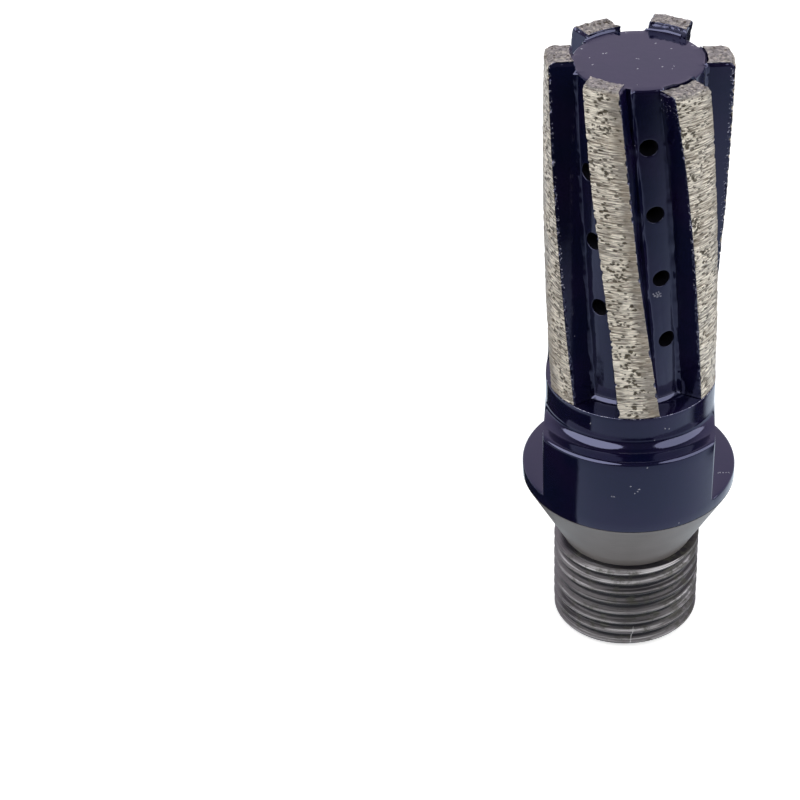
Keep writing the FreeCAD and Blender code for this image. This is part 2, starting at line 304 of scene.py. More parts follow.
class Shell:
    """Skin of one piece, gathered from patches in millimetres and welded into a mesh."""

    WELD = 0.0004

    def __init__(self, name: str) -> None:
        """Start an empty skin with the piece's name."""
        self.name = name
        self.points: list[np.ndarray] = []
        self.faces: list[tuple[int, ...]] = []
        self.finish_of: list[int] = []
        self.marks: dict[Mark, list[np.ndarray]] = {mark: [] for mark in Mark}
        self.flat: list[np.ndarray] = []
        self.count = 0

    def add_points(self, points: np.ndarray, flat: np.ndarray | None = None,
                   **marks: np.ndarray) -> np.ndarray:
        """Add points and keep their marks.

        Args:
            points: Places in millimetres, in an array of any shape with three lengths last.
            flat: Places on the unrolled surface in millimetres, or none.
            marks: Values of marks, by the mark's name in lower case.

        Returns:
            The points' numbers, in the shape that they were given.
        """
        shape = points.shape[:-1]
        size = int(np.prod(shape))
        self.points.append(points.reshape(-1, 3))
        unrolled = np.zeros((size, 2)) if flat is None else flat.reshape(-1, 2)
        self.flat.append(unrolled)
        for mark in Mark:
            values = marks.get(mark.value)
            filled = np.zeros(size) if values is None else np.broadcast_to(values, shape).reshape(-1)
            self.marks[mark].append(filled)
        numbers = np.arange(self.count, self.count + size).reshape(shape)
        self.count += size
        return numbers

    def join_rows(self, numbers: np.ndarray, closed: bool = False, finish: int = 0) -> None:
        """Lay four-sided faces between the rows and columns of numbered points.

        Args:
            numbers: Numbers of the points, in rows and columns.
            closed: Whether the last column joins the first.
            finish: Which of the piece's finishes the faces take.
        """
        if closed:
            numbers = np.concatenate([numbers, numbers[:, :1]], axis=1)
        quads = np.stack(
            [numbers[:-1, :-1], numbers[:-1, 1:], numbers[1:, 1:], numbers[1:, :-1]], axis=-1)
        quads = quads.reshape(-1, 4)
        self.faces.extend(map(tuple, quads.tolist()))
        self.finish_of.extend([finish] * len(quads))

    def close_ring(self, ring: np.ndarray, centre: np.ndarray, finish: int = 0) -> None:
        """Close a ring of points with a fan to its centre.

        Args:
            ring: Numbers of the ring's points.
            centre: Place of the fan's middle, in millimetres.
            finish: Which of the piece's finishes the faces take.
        """
        middle = int(self.add_points(centre.reshape(1, 3))[0])
        for first, second in zip(ring, np.roll(ring, -1)):
            self.faces.append((int(first), int(second), middle))
            self.finish_of.append(finish)

    def stitch(self, first: np.ndarray, second: np.ndarray, finish: int = 0) -> None:
        """Join two rings round the axis that have different numbers of points.

        Args:
            first: Numbers of one ring's points, in order round the axis.
            second: Numbers of the other ring's points, in the same order.
            finish: Which of the piece's finishes the faces take.
        """
        points = np.concatenate(self.points)
        rings = []
        for ring in (first, second):
            angle = np.arctan2(points[ring, 1], points[ring, 0])
            start = int(np.argmin(angle))
            ordered = np.roll(ring, -start)
            angle = np.unwrap(np.roll(angle, -start))
            rings.append((ordered, np.append(angle, angle[0] + 2 * math.pi)))
        (one, one_angle), (two, two_angle) = rings
        i = j = 0
        while i < len(one) or j < len(two):
            step_one = j >= len(two) or (i < len(one) and one_angle[i + 1] <= two_angle[j + 1])
            here, there = int(one[i % len(one)]), int(two[j % len(two)])
            if step_one:
                i += 1
                self.faces.append((here, int(one[i % len(one)]), there))
            else:
                j += 1
                self.faces.append((here, int(two[j % len(two)]), there))
            self.finish_of.append(finish)

    def build(self, finishes: list[bpy.types.Material], crease: float) -> bpy.types.Object:
        """Weld the patches into one mesh and make its object.

        Args:
            finishes: Materials of the piece, in the order that the faces name them.
            crease: Edges that turn more than this many degrees stay sharp.

        Returns:
            The new object, at the origin of the frame.
        """
        mesh = bpy.data.meshes.new(self.name)
        mesh.from_pydata((np.concatenate(self.points) * MM).tolist(), [], self.faces)
        mesh.polygons.foreach_set("material_index", self.finish_of)
        for mark, values in self.marks.items():
            joined = np.concatenate(values).astype(np.float32)
            if joined.any():
                attribute = mesh.attributes.new(mark.value, "FLOAT", "POINT")
                attribute.data.foreach_set("value", joined)
        unrolled = np.concatenate(self.flat)
        if unrolled.any():
            loops = np.zeros(len(mesh.loops), dtype=int)
            mesh.loops.foreach_get("vertex_index", loops)
            layer = mesh.uv_layers.new(name="unrolled")
            layer.data.foreach_set("uv", (unrolled[loops] * MM).astype(np.float32).reshape(-1))
        work = bmesh.new()
        work.from_mesh(mesh)
        bmesh.ops.remove_doubles(work, verts=work.verts, dist=self.WELD * MM)
        bmesh.ops.dissolve_degenerate(work, edges=work.edges, dist=self.WELD * MM)
        bmesh.ops.recalc_face_normals(work, faces=work.faces)
        work.to_mesh(mesh)
        work.free()
        for material in finishes:
            mesh.materials.append(material)
        mesh.shade_smooth()
        mesh.set_sharp_from_angle(angle=math.radians(crease))
        piece = bpy.data.objects.new(self.name, mesh)
        bpy.context.scene.collection.objects.link(piece)
        return piece


def settle(piece: bpy.types.Object, slot: Slot, *nodes: str) -> None:
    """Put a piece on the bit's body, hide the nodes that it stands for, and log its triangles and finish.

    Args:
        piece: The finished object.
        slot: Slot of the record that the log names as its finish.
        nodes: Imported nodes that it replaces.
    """
    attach(piece, BODY)
    if nodes:
        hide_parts(*nodes)
    triangles = sum(len(polygon.vertices) - 2 for polygon in piece.data.polygons)
    log.info("%s: %d triangles, finish %s", piece.name, triangles, slot.value)


class NodeGraph:
    """Node tree of a material, with short ways to add and join its nodes."""

    def __init__(self, name: str, owner: bpy.types.Material | bpy.types.World | None = None) -> None:
        """Start an empty tree on a new material, or on the material or world given."""
        self.material = owner or bpy.data.materials.new(name)
        self.material.use_nodes = True
        self.tree = self.material.node_tree
        self.tree.nodes.clear()
        kind = "World" if isinstance(self.material, bpy.types.World) else "Material"
        self.output = self.tree.nodes.new(f"ShaderNodeOutput{kind}")

    def add(self, kind: str, inputs: dict | None = None, **settings: object) -> bpy.types.Node:
        """Add a node.

        Args:
            kind: The node's type.
            inputs: Values or sockets for its inputs, by name or number.
            settings: Properties to set on the node.

        Returns:
            The node.
        """
        node = self.tree.nodes.new(kind)
        for name, value in settings.items():
            setattr(node, name, value)
        for name, value in (inputs or {}).items():
            if isinstance(value, bpy.types.NodeSocket):
                self.tree.links.new(value, node.inputs[name])
            else:
                node.inputs[name].default_value = value
        return node

    def place(self, scale: tuple[float, float, float] = (1.0, 1.0, 1.0)) -> bpy.types.NodeSocket:
        """Place on the bit.

        Args:
            scale: Stretch along each axis.

        Returns:
            The socket of the place, in millimetres.
        """
        source = self.add("ShaderNodeTexCoord").outputs["Object"]
        factors = tuple(value / MM for value in scale)
        return self.scaled(source, factors)

    def unrolled(self, scale: tuple[float, float, float] = (1.0, 1.0, 1.0)) -> bpy.types.NodeSocket:
        """Place on the unrolled face.

        Args:
            scale: Stretch along each axis.

        Returns:
            The socket of the place, in millimetres.
        """
        source = self.add("ShaderNodeUVMap", uv_map="unrolled").outputs["UV"]
        factors = tuple(value / MM for value in scale)
        return self.scaled(source, factors)

    def mark(self, mark: Mark) -> bpy.types.NodeSocket:
        """Value that a mark has on the surface."""
        return self.add("ShaderNodeAttribute", attribute_name=mark.value).outputs["Fac"]

    def noise(self, where: bpy.types.NodeSocket, scale: float, detail: float = 2.0,
              roughness: float = 0.5) -> bpy.types.NodeSocket:
        """Cloudy value from 0 to 1, with a number of waves for each unit of place."""
        inputs = {"Vector": where, "Scale": scale, "Detail": detail, "Roughness": roughness}
        return self.add("ShaderNodeTexNoise", inputs).outputs["Fac"]

    def remap(self, value: bpy.types.NodeSocket, low: float, high: float,
              to_low: float = 0.0, to_high: float = 1.0, soft: bool = True) -> bpy.types.NodeSocket:
        """Map a value from one span to another, and hold it at the span's ends.

        Args:
            value: The value's socket.
            low: Value that gives to_low.
            high: Value that gives to_high.
            to_low: Start of the new span.
            to_high: End of the new span.
            soft: Whether the value eases in and out, or changes evenly.

        Returns:
            The new value's socket.
        """
        inputs = {"Value": value, "From Min": low, "From Max": high, "To Min": to_low, "To Max": to_high}
        kind = "SMOOTHSTEP" if soft else "LINEAR"
        return self.add("ShaderNodeMapRange", inputs, interpolation_type=kind).outputs["Result"]

    def between(self, value: bpy.types.NodeSocket, low: float, high: float,
                blur: float) -> bpy.types.NodeSocket:
        """Value of 1 between two limits and 0 outside them.

        Args:
            value: The value's socket.
            low: Lower limit.
            high: Upper limit.
            blur: Half the width of each blurred edge.

        Returns:
            The new value's socket.
        """
        rise = self.remap(value, low - blur, low + blur)
        fall = self.remap(value, high - blur, high + blur, 1.0, 0.0)
        return self.math("MULTIPLY", rise, fall)

    def math(self, operation: str, first: bpy.types.NodeSocket,
             second: bpy.types.NodeSocket | float) -> bpy.types.NodeSocket:
        """Join two values by an operation."""
        return self.add("ShaderNodeMath", {0: first, 1: second}, operation=operation).outputs[0]

    def climb(self, pitch: float) -> bpy.types.NodeSocket:
        """Place on the bit, where height is counted from a helix.

        Args:
            pitch: Rise of the helix in one turn, in millimetres.

        Returns:
            The socket of the place, in millimetres.
        """
        split = self.add("ShaderNodeSeparateXYZ", {0: self.place()})
        front = self.math("MULTIPLY", split.outputs["Y"], -1.0)
        turned = self.math("ARCTAN2", split.outputs["X"], front)
        height = self.math("SUBTRACT", split.outputs["Z"], self.math("MULTIPLY", turned, pitch / math.tau))
        parts = {"X": split.outputs["X"], "Y": split.outputs["Y"], "Z": height}
        return self.add("ShaderNodeCombineXYZ", parts).outputs[0]

    def scaled(self, where: bpy.types.NodeSocket, scale: tuple[float, float, float]) -> bpy.types.NodeSocket:
        """Stretch a place along each axis."""
        return self.add("ShaderNodeVectorMath", {0: where, 1: scale}, operation="MULTIPLY").outputs[0]

    def nearest(self, where: bpy.types.NodeSocket,
                spots: tuple[tuple[float, float, float], ...]) -> bpy.types.NodeSocket:
        """Distance to the nearest of some spots.

        Args:
            where: The socket of the place.
            spots: Places of the spots, in the unit of the place.

        Returns:
            The distance's socket, in the same unit.
        """
        gaps = [
            self.add("ShaderNodeVectorMath", {0: where, 1: spot}, operation="DISTANCE").outputs["Value"]
            for spot in spots]
        while len(gaps) > 1:
            gaps.append(self.math("MINIMUM", gaps.pop(0), gaps.pop(0)))
        return gaps[0]

    def tint(self, share: bpy.types.NodeSocket,
             first: bpy.types.NodeSocket | tuple[float, float, float],
             second: bpy.types.NodeSocket | tuple[float, float, float]) -> bpy.types.NodeSocket:
        """Mix two colours, each a socket or three values.

        Args:
            share: Share of the second colour, from 0 to 1.
            first: Colour at a share of 0.
            second: Colour at a share of 1.

        Returns:
            The mixed colour's socket.
        """
        node = self.add("ShaderNodeMix", data_type="RGBA")
        self.tree.links.new(share, node.inputs["Factor"])
        for name, colour in (("A", first), ("B", second)):
            socket = next(s for s in node.inputs if s.name == name and s.type == "RGBA")
            if isinstance(colour, bpy.types.NodeSocket):
                self.tree.links.new(colour, socket)
            else:
                socket.default_value = (*colour, 1.0)
        return next(s for s in node.outputs if s.type == "RGBA")

    def bump(self, height: bpy.types.NodeSocket, depth: float,
             below: bpy.types.NodeSocket | None = None, strength: float = 1.0) -> bpy.types.NodeSocket:
        """Normal of a surface with relief.

        Args:
            height: Height of the relief, from 0 to 1.
            depth: Depth that a height of 1 stands for, in millimetres.
            below: Normal of a coarser relief that this one lies on.
            strength: How much of the relief shows.

        Returns:
            The normal's socket.
        """
        node = self.add("ShaderNodeBump", {"Height": height, "Distance": depth * MM, "Strength": strength})
        if below is not None:
            self.tree.links.new(below, node.inputs["Normal"])
        return node.outputs["Normal"]

    def finish(self, **inputs: object) -> bpy.types.Material:
        """Join the shader's inputs and its output.

        Args:
            inputs: Values or sockets by the input's name, with underscores for spaces.

        Returns:
            The material.
        """
        named = {name.replace("_", " "): value for name, value in inputs.items()}
        shader = self.add("ShaderNodeBsdfPrincipled", named)
        self.tree.links.new(shader.outputs[0], self.output.inputs["Surface"])
        return self.material


@dataclass(frozen=True)
class GlossPaint:
    """Glossy dark navy paint with fine dust in it and bright wear on worn edges."""

    base: tuple[float, float, float] = (0.0026, 0.0036, 0.0190)
    cloud: tuple[float, float, float] = (0.0066, 0.0040, 0.0230)
    worn: tuple[float, float, float] = (0.42, 0.42, 0.50)
    dust: tuple[float, float, float] = (0.33, 0.33, 0.37)
    sheen: tuple[float, float, float, float] = (0.62, 0.65, 1.0, 1.0)
    flecks: tuple[tuple[float, float, float], ...] = (
        (-4.5, 1.7, 88.9), (-4.1, 1.8, 88.9), (-6.2, 0.5, 88.9), (-5.7, -1.4, 88.9),
        (-0.3, 0.4, 88.9), (0.0, 0.3, 88.9), (-0.1, -2.4, 88.9), (2.1, 4.7, 88.9), (4.1, 3.3, 88.9),
        (2.6, 0.4, 88.9), (3.0, -1.8, 88.9), (4.2, -2.3, 88.9), (4.4, -1.6, 88.9), (-7.3, 3.0, 88.9),
        (-1.7, 7.7, 88.9), (6.7, 4.3, 88.9), (6.9, 4.2, 88.9),
        (12.6, -3.2, 26.6), (12.9, -3.1, 26.6), (13.3, -3.1, 26.6), (13.7, -3.1, 26.6),
        (14.1, -3.1, 26.6), (-7.8, -3.3, 70.5), (-7.0, -4.8, 71.6), (-6.5, -5.4, 63.2),
        (-6.7, -5.2, 55.9), (6.6, -5.3, 54.6), (6.4, -5.6, 54.9), (2.7, -8.1, 59.1),
        (2.9, -8.0, 58.8), (3.1, -7.9, 59.2), (3.2, -7.9, 58.9), (3.4, -7.8, 59.3), (3.5, -7.8, 58.8),
        (3.7, -7.7, 58.6), (3.3, -7.8, 58.6), (3.6, -7.7, 59.0), (-5.2, -10.6, 39.9),
        (4.9, -10.8, 39.5), (5.4, -10.5, 39.3), (0.5, -12.6, 37.0), (1.5, -13.2, 37.0),
        (0.4, -15.0, 32.7), (1.0, -15.0, 31.5), (1.4, -14.9, 31.8), (1.6, -14.9, 32.2),
        (-2.1, -14.8, 30.8), (-1.8, -14.9, 30.8), (2.6, -14.8, 35.8))
    fleck_radius: float = 0.13
    gloss_roughness: float = 0.085
    refraction: float = 1.66

    def material(self) -> bpy.types.Material:
        """Make the paint.

        Returns:
            The material.
        """
        graph = NodeGraph("navy_gloss_paint")
        where = graph.place()
        cloud = graph.remap(graph.noise(where, 0.16, 3.0), 0.35, 0.7)
        colour = graph.tint(cloud, self.base, self.cloud)
        cells = graph.add("ShaderNodeTexVoronoi", {"Vector": where, "Scale": 0.55})
        near = graph.remap(cells.outputs["Distance"], 0.030, 0.045, 1.0, 0.0)
        chosen = graph.add("ShaderNodeSeparateColor", {0: cells.outputs["Color"]}).outputs[0]
        speck = graph.math("MULTIPLY", near, graph.remap(chosen, 0.86, 0.88))
        wear_grain = graph.noise(where, 2.6, 3.0, 0.7)
        wear = graph.mark(Mark.WEAR)
        bared = graph.math("ADD", wear_grain, graph.math("MULTIPLY", wear, 0.10))
        worn = graph.math("MULTIPLY", graph.remap(wear, 0.0, 0.3), graph.remap(bared, 0.63, 0.69))
        shifted = graph.add("ShaderNodeVectorMath", {
            0: graph.add("ShaderNodeTexNoise", {"Vector": where, "Scale": 4.5}).outputs["Color"],
            1: (0.50, 0.50, 0.20), 2: where}, operation="MULTIPLY_ADD").outputs[0]
        shifted = graph.add("ShaderNodeVectorMath", {0: shifted, 1: (-0.25, -0.25, -0.10)}).outputs[0]
        fleck = graph.remap(
            graph.nearest(shifted, self.flecks), self.fleck_radius * 0.75, self.fleck_radius, 1.0, 0.0)
        speck = graph.math("MAXIMUM", speck, fleck)
        colour = graph.tint(speck, colour, self.dust)
        colour = graph.tint(worn, colour, self.worn)
        peel = graph.bump(graph.noise(where, 0.9, 2.0), 0.010)
        ripple = graph.bump(graph.noise(where, 5.0, 2.0), 0.0016, peel)
        rough_cloud = graph.remap(graph.noise(where, 0.4, 4.0), 0.3, 0.7, 0.8, 1.25)
        rough = graph.math("MULTIPLY", rough_cloud, self.gloss_roughness)
        rough = graph.math("ADD", rough, graph.math("MULTIPLY", worn, 0.3))
        return graph.finish(
            Base_Color=colour, Roughness=rough, IOR=self.refraction, Specular_Tint=self.sheen,
            Normal=ripple)


@dataclass(frozen=True)
class TurnedSteel:
    """Bare satin steel of the cone, with the fine rings of the turning tool."""

    base: tuple[float, float, float] = (0.270, 0.249, 0.240)
    shade: tuple[float, float, float] = (0.205, 0.189, 0.182)
    roughness: float = 0.42
    metal: float = 0.50

    def material(self) -> bpy.types.Material:
        """Make the steel.

        Returns:
            The material.
        """
        graph = NodeGraph("turned_steel")
        rings = graph.noise(graph.place((0.02, 0.02, 6.0)), 1.0, 3.0, 0.6)
        cloud = graph.noise(graph.place(), 0.25, 3.0)
        share = graph.remap(graph.math("ADD", rings, graph.math("MULTIPLY", cloud, 0.5)), 0.5, 1.1)
        colour = graph.tint(share, self.shade, self.base)
        rough = graph.remap(rings, 0.3, 0.7, self.roughness * 0.85, self.roughness * 1.15)
        normal = graph.bump(rings, 0.004)
        return graph.finish(
            Base_Color=colour, Metallic=self.metal, Roughness=rough, Specular_IOR_Level=0.2, Normal=normal)


@dataclass(frozen=True)
class BoreShadeSteel:
    """Unpainted steel inside the bore and the water holes, coloured near black as a painted shade."""

    base: tuple[float, float, float, float] = (0.002, 0.002, 0.004, 1.0)
    roughness: float = 0.75
    gloss: float = 0.12

    def material(self) -> bpy.types.Material:
        """Make the steel.

        Returns:
            The material.
        """
        graph = NodeGraph("dark_bore_steel")
        normal = graph.bump(graph.noise(graph.place(), 4.0, 2.0), 0.01)
        return graph.finish(
            Base_Color=self.base, Metallic=0.0, Roughness=self.roughness, Specular_IOR_Level=self.gloss,
            Normal=normal)


@dataclass(frozen=True)
class ThreadSteel:
    """Dark cut steel of the thread, with painted highlight towards its crests and painted shade in its
    roots.
    """

    # The crest colour is a painted highlight and the root colour a painted shade; the root colour also draws
    # dark tool lines.
    flank: tuple[float, float, float] = (0.105, 0.098, 0.103)
    crest: tuple[float, float, float] = (0.150, 0.143, 0.148)
    root: tuple[float, float, float] = (0.010, 0.009, 0.012)
    scratch: tuple[float, float, float] = (0.48, 0.47, 0.48)
    stained: tuple[float, float, float] = (0.042, 0.042, 0.032)
    pitch: float = THREAD_PITCH

    def material(self) -> bpy.types.Material:
        """Make the steel.

        Returns:
            The material.
        """
        graph = NodeGraph("cut_thread_steel")
        crest = graph.mark(Mark.CREST)
        along = graph.climb(self.pitch)
        marks = graph.noise(graph.scaled(along, (0.05, 0.05, 4.2)), 1.0, 1.0, 0.5)
        cloud = graph.noise(graph.scaled(along, (0.12, 0.12, 0.5)), 1.0, 2.0, 0.6)
        stain = graph.noise(graph.place((1.0, 1.0, 1.4)), 0.50, 4.0, 0.65)
        # Painted shade in the roots and painted highlight towards the crests, following the depth in the
        # groove.
        colour = graph.tint(graph.remap(crest, 0.0, 0.16), self.root, self.flank)
        colour = graph.tint(graph.remap(crest, 0.30, 0.95, soft=False), colour, self.crest)
        lines = graph.math("ADD", marks, graph.math("MULTIPLY", cloud, 0.30))
        dark_line = graph.remap(lines, 0.52, 0.62, 0.80, 0.0)
        colour = graph.tint(dark_line, colour, self.root)
        score = graph.math("MULTIPLY", graph.remap(crest, 0.25, 0.60), graph.remap(lines, 0.72, 0.84))
        colour = graph.tint(score, colour, self.scratch)
        split = graph.add("ShaderNodeSeparateXYZ", {0: graph.place()})
        oily = graph.remap(split.outputs["X"], 4.0, 9.5, 0.0, 0.10)
        dirt = graph.remap(graph.math("ADD", stain, oily), 0.50, 0.68, 0.0, 0.80)
        colour = graph.tint(dirt, colour, self.stained)
        # Painted reflection: the thread's left side is lightened towards the crest colour.
        left_side_reflection = graph.remap(split.outputs["X"], -10.0, -8.6, 0.85, 0.0)
        colour = graph.tint(left_side_reflection, colour, self.crest)
        slant = graph.math("ADD", split.outputs["X"], graph.math("MULTIPLY", split.outputs["Z"], -0.16))
        cut = graph.math("MULTIPLY", graph.between(slant, 0.80, 0.92, 0.06),
                         graph.between(split.outputs["Z"], -0.2, 3.1, 0.2))
        cut = graph.math("MULTIPLY", cut, graph.remap(split.outputs["Y"], -9.0, -8.0, 1.0, 0.0))
        colour = graph.tint(cut, colour, self.scratch)
        rough = graph.remap(marks, 0.3, 0.7, 0.40, 0.60)
        normal = graph.bump(lines, 0.050)
        return graph.finish(Base_Color=colour, Metallic=0.40, Roughness=rough, Normal=normal)


@dataclass(frozen=True)
class GroundMatrix:
    """Ground face of a diamond segment: pale sintered metal, grinding streaks and open grit, with painted
    highlight on the streaks' ridges and painted shade in their grooves.
    """

    base: tuple[float, float, float] = (0.250, 0.206, 0.154)
    grey: tuple[float, float, float] = (0.220, 0.195, 0.167)
    pale: tuple[float, float, float] = (0.96, 0.89, 0.76)
    pit: tuple[float, float, float] = (0.060, 0.047, 0.026)
    dull: tuple[float, float, float] = (0.105, 0.100, 0.096)
    top_grey: tuple[float, float, float] = (0.290, 0.275, 0.258)
    comet_across: float = 0.40
    comet_along: float = 2.4

    def comets(self, graph: NodeGraph, shift: float,
               chosen: float) -> tuple[bpy.types.NodeSocket, bpy.types.NodeSocket]:
        """Small open grit with the ridge of metal that stands behind each grain.

        Args:
            graph: Tree that takes the nodes.
            shift: Moves the pattern, so that two layers differ.
            chosen: Share of the places that hold no grain.

        Returns:
            The pits' share and the ridges' share, from 0 to 1.
        """
        flat = graph.unrolled()
        wave = {"Vector": flat, "Scale": 1.3, "Detail": 2.0}
        waver = graph.add("ShaderNodeTexNoise", wave).outputs["Color"]
        flat = graph.add("ShaderNodeVectorMath", {0: waver, 1: (0.20, 0.16, 0.0), 2: flat},
                         operation="MULTIPLY_ADD").outputs[0]
        flat = graph.add("ShaderNodeVectorMath", {0: flat, 1: (shift, shift * 1.7, 0.0)}).outputs[0]
        where = graph.scaled(flat, (self.comet_across, self.comet_along, 1.0))
        cells = graph.add("ShaderNodeTexVoronoi", {"Vector": where, "Scale": 1.0, "Randomness": 1.0},
                          voronoi_dimensions="2D")
        away = graph.add("ShaderNodeVectorMath", {0: where, 1: cells.outputs["Position"]},
                         operation="SUBTRACT").outputs[0]
        away = graph.scaled(away, (1.0 / self.comet_across, 1.0 / self.comet_along, 0.0))
        split = graph.add("ShaderNodeSeparateXYZ", {0: away})
        aside, above = split.outputs["X"], split.outputs["Y"]
        luck = graph.add("ShaderNodeSeparateColor", {0: cells.outputs["Color"]})
        held = graph.remap(luck.outputs[0], chosen, chosen + 0.04)
        reach = graph.add("ShaderNodeVectorMath", {0: graph.scaled(away, (0.75, 1.25, 0.0))},
                          operation="LENGTH").outputs["Value"]
        size = graph.remap(luck.outputs[1], 0.0, 1.0, 0.08, 0.25, soft=False)
        inside = graph.remap(graph.math("SUBTRACT", reach, size), -0.05, 0.05, 1.0, 0.0)
        pit = graph.math("MULTIPLY", held, inside)
        thick = graph.remap(graph.math("ABSOLUTE", above, 0.0), 0.03, 0.13, 1.0, 0.0)
        length = graph.between(aside, -2.2, -0.15, 0.15)
        ridge = graph.math("MULTIPLY", graph.math("MULTIPLY", thick, length), held)
        return pit, ridge

    def material(self) -> bpy.types.Material:
        """Make the sintered metal.

        Returns:
            The material.
        """
        graph = NodeGraph("ground_diamond_matrix")
        where = graph.place()
        calm = graph.mark(Mark.CALM)
        streaks = graph.noise(graph.unrolled((0.28, 3.6, 1.0)), 1.0, 4.0, 0.68)
        fine = graph.noise(graph.unrolled((0.8, 9.5, 1.0)), 1.0, 3.0, 0.6)
        cloud = graph.noise(where, 0.30, 3.0)
        grit = graph.noise(where, 2.6, 3.0, 0.65)
        colour = graph.tint(graph.remap(cloud, 0.35, 0.65), self.base, self.grey)
        mixed = graph.math("ADD", streaks, graph.math("MULTIPLY", fine, 0.60))
        lively = graph.remap(calm, 0.0, 1.0, 1.0, 0.30, soft=False)
        # Painted highlight and shade: the streaks turn pale where their relief stands high and dark where it
        # lies low.
        streak_highlight_share = graph.math("MULTIPLY", graph.remap(mixed, 0.74, 0.98, 0.0, 1.0, soft=False), lively)
        colour = graph.tint(streak_highlight_share, colour, self.pale)
        groove_shade_share = graph.math("MULTIPLY", graph.remap(mixed, 0.62, 0.76, 0.90, 0.0), lively)
        colour = graph.tint(groove_shade_share, colour, self.pit)
        pit, ridge = self.comets(graph, 0.0, 0.42)
        more_pit, more_ridge = self.comets(graph, 13.7, 0.60)
        ridges = graph.math("MAXIMUM", ridge, more_ridge)
        ridges = graph.math("MAXIMUM", ridges, graph.mark(Mark.TAIL))
        ridges = graph.math("MULTIPLY", ridges, graph.remap(fine, 0.30, 0.52))
        # The ridges behind the grit are real, and their pale colour is a painted highlight.
        colour = graph.tint(graph.math("MULTIPLY", ridges, lively), colour, self.pale)
        small = graph.math("MULTIPLY", graph.math("MAXIMUM", pit, more_pit), lively)
        colour = graph.tint(graph.math("MULTIPLY", small, 0.85), colour, self.pit)
        uneven = graph.remap(grit, 0.3, 0.7, -0.40, 0.40, soft=False)
        ragged = graph.math("ADD", graph.mark(Mark.PIT), uneven)
        colour = graph.tint(graph.remap(ragged, 0.34, 0.70, 0.0, 0.95), colour, self.pit)
        top = graph.mark(Mark.TOP)
        grains = graph.add("ShaderNodeTexVoronoi", {"Vector": where, "Scale": 3.3, "Randomness": 1.0})
        grain_tone = graph.add("ShaderNodeSeparateColor", {0: grains.outputs["Color"]}).outputs[0]
        top_tone = graph.tint(graph.remap(grit, 0.34, 0.54), self.dull, self.top_grey)
        top_tone = graph.tint(graph.remap(grain_tone, 0.62, 0.92, 0.0, 0.36), top_tone, self.pale)
        top_tone = graph.tint(graph.remap(grain_tone, 0.06, 0.18, 0.85, 0.0), top_tone, self.pit)
        colour = graph.tint(top, colour, top_tone)
        relief = graph.math("ADD", mixed, graph.math("MULTIPLY", ridges, 0.5))
        relief = graph.math("SUBTRACT", relief, graph.math("MULTIPLY", small, 0.9))
        coarse = graph.bump(relief, 0.15)
        normal = graph.bump(graph.noise(where, 4.5, 3.0, 0.65), 0.070, coarse)
        rough = graph.remap(mixed, 0.5, 0.9, 0.60, 0.38)
        return graph.finish(Base_Color=colour, Metallic=0.30, Roughness=rough, Normal=normal)


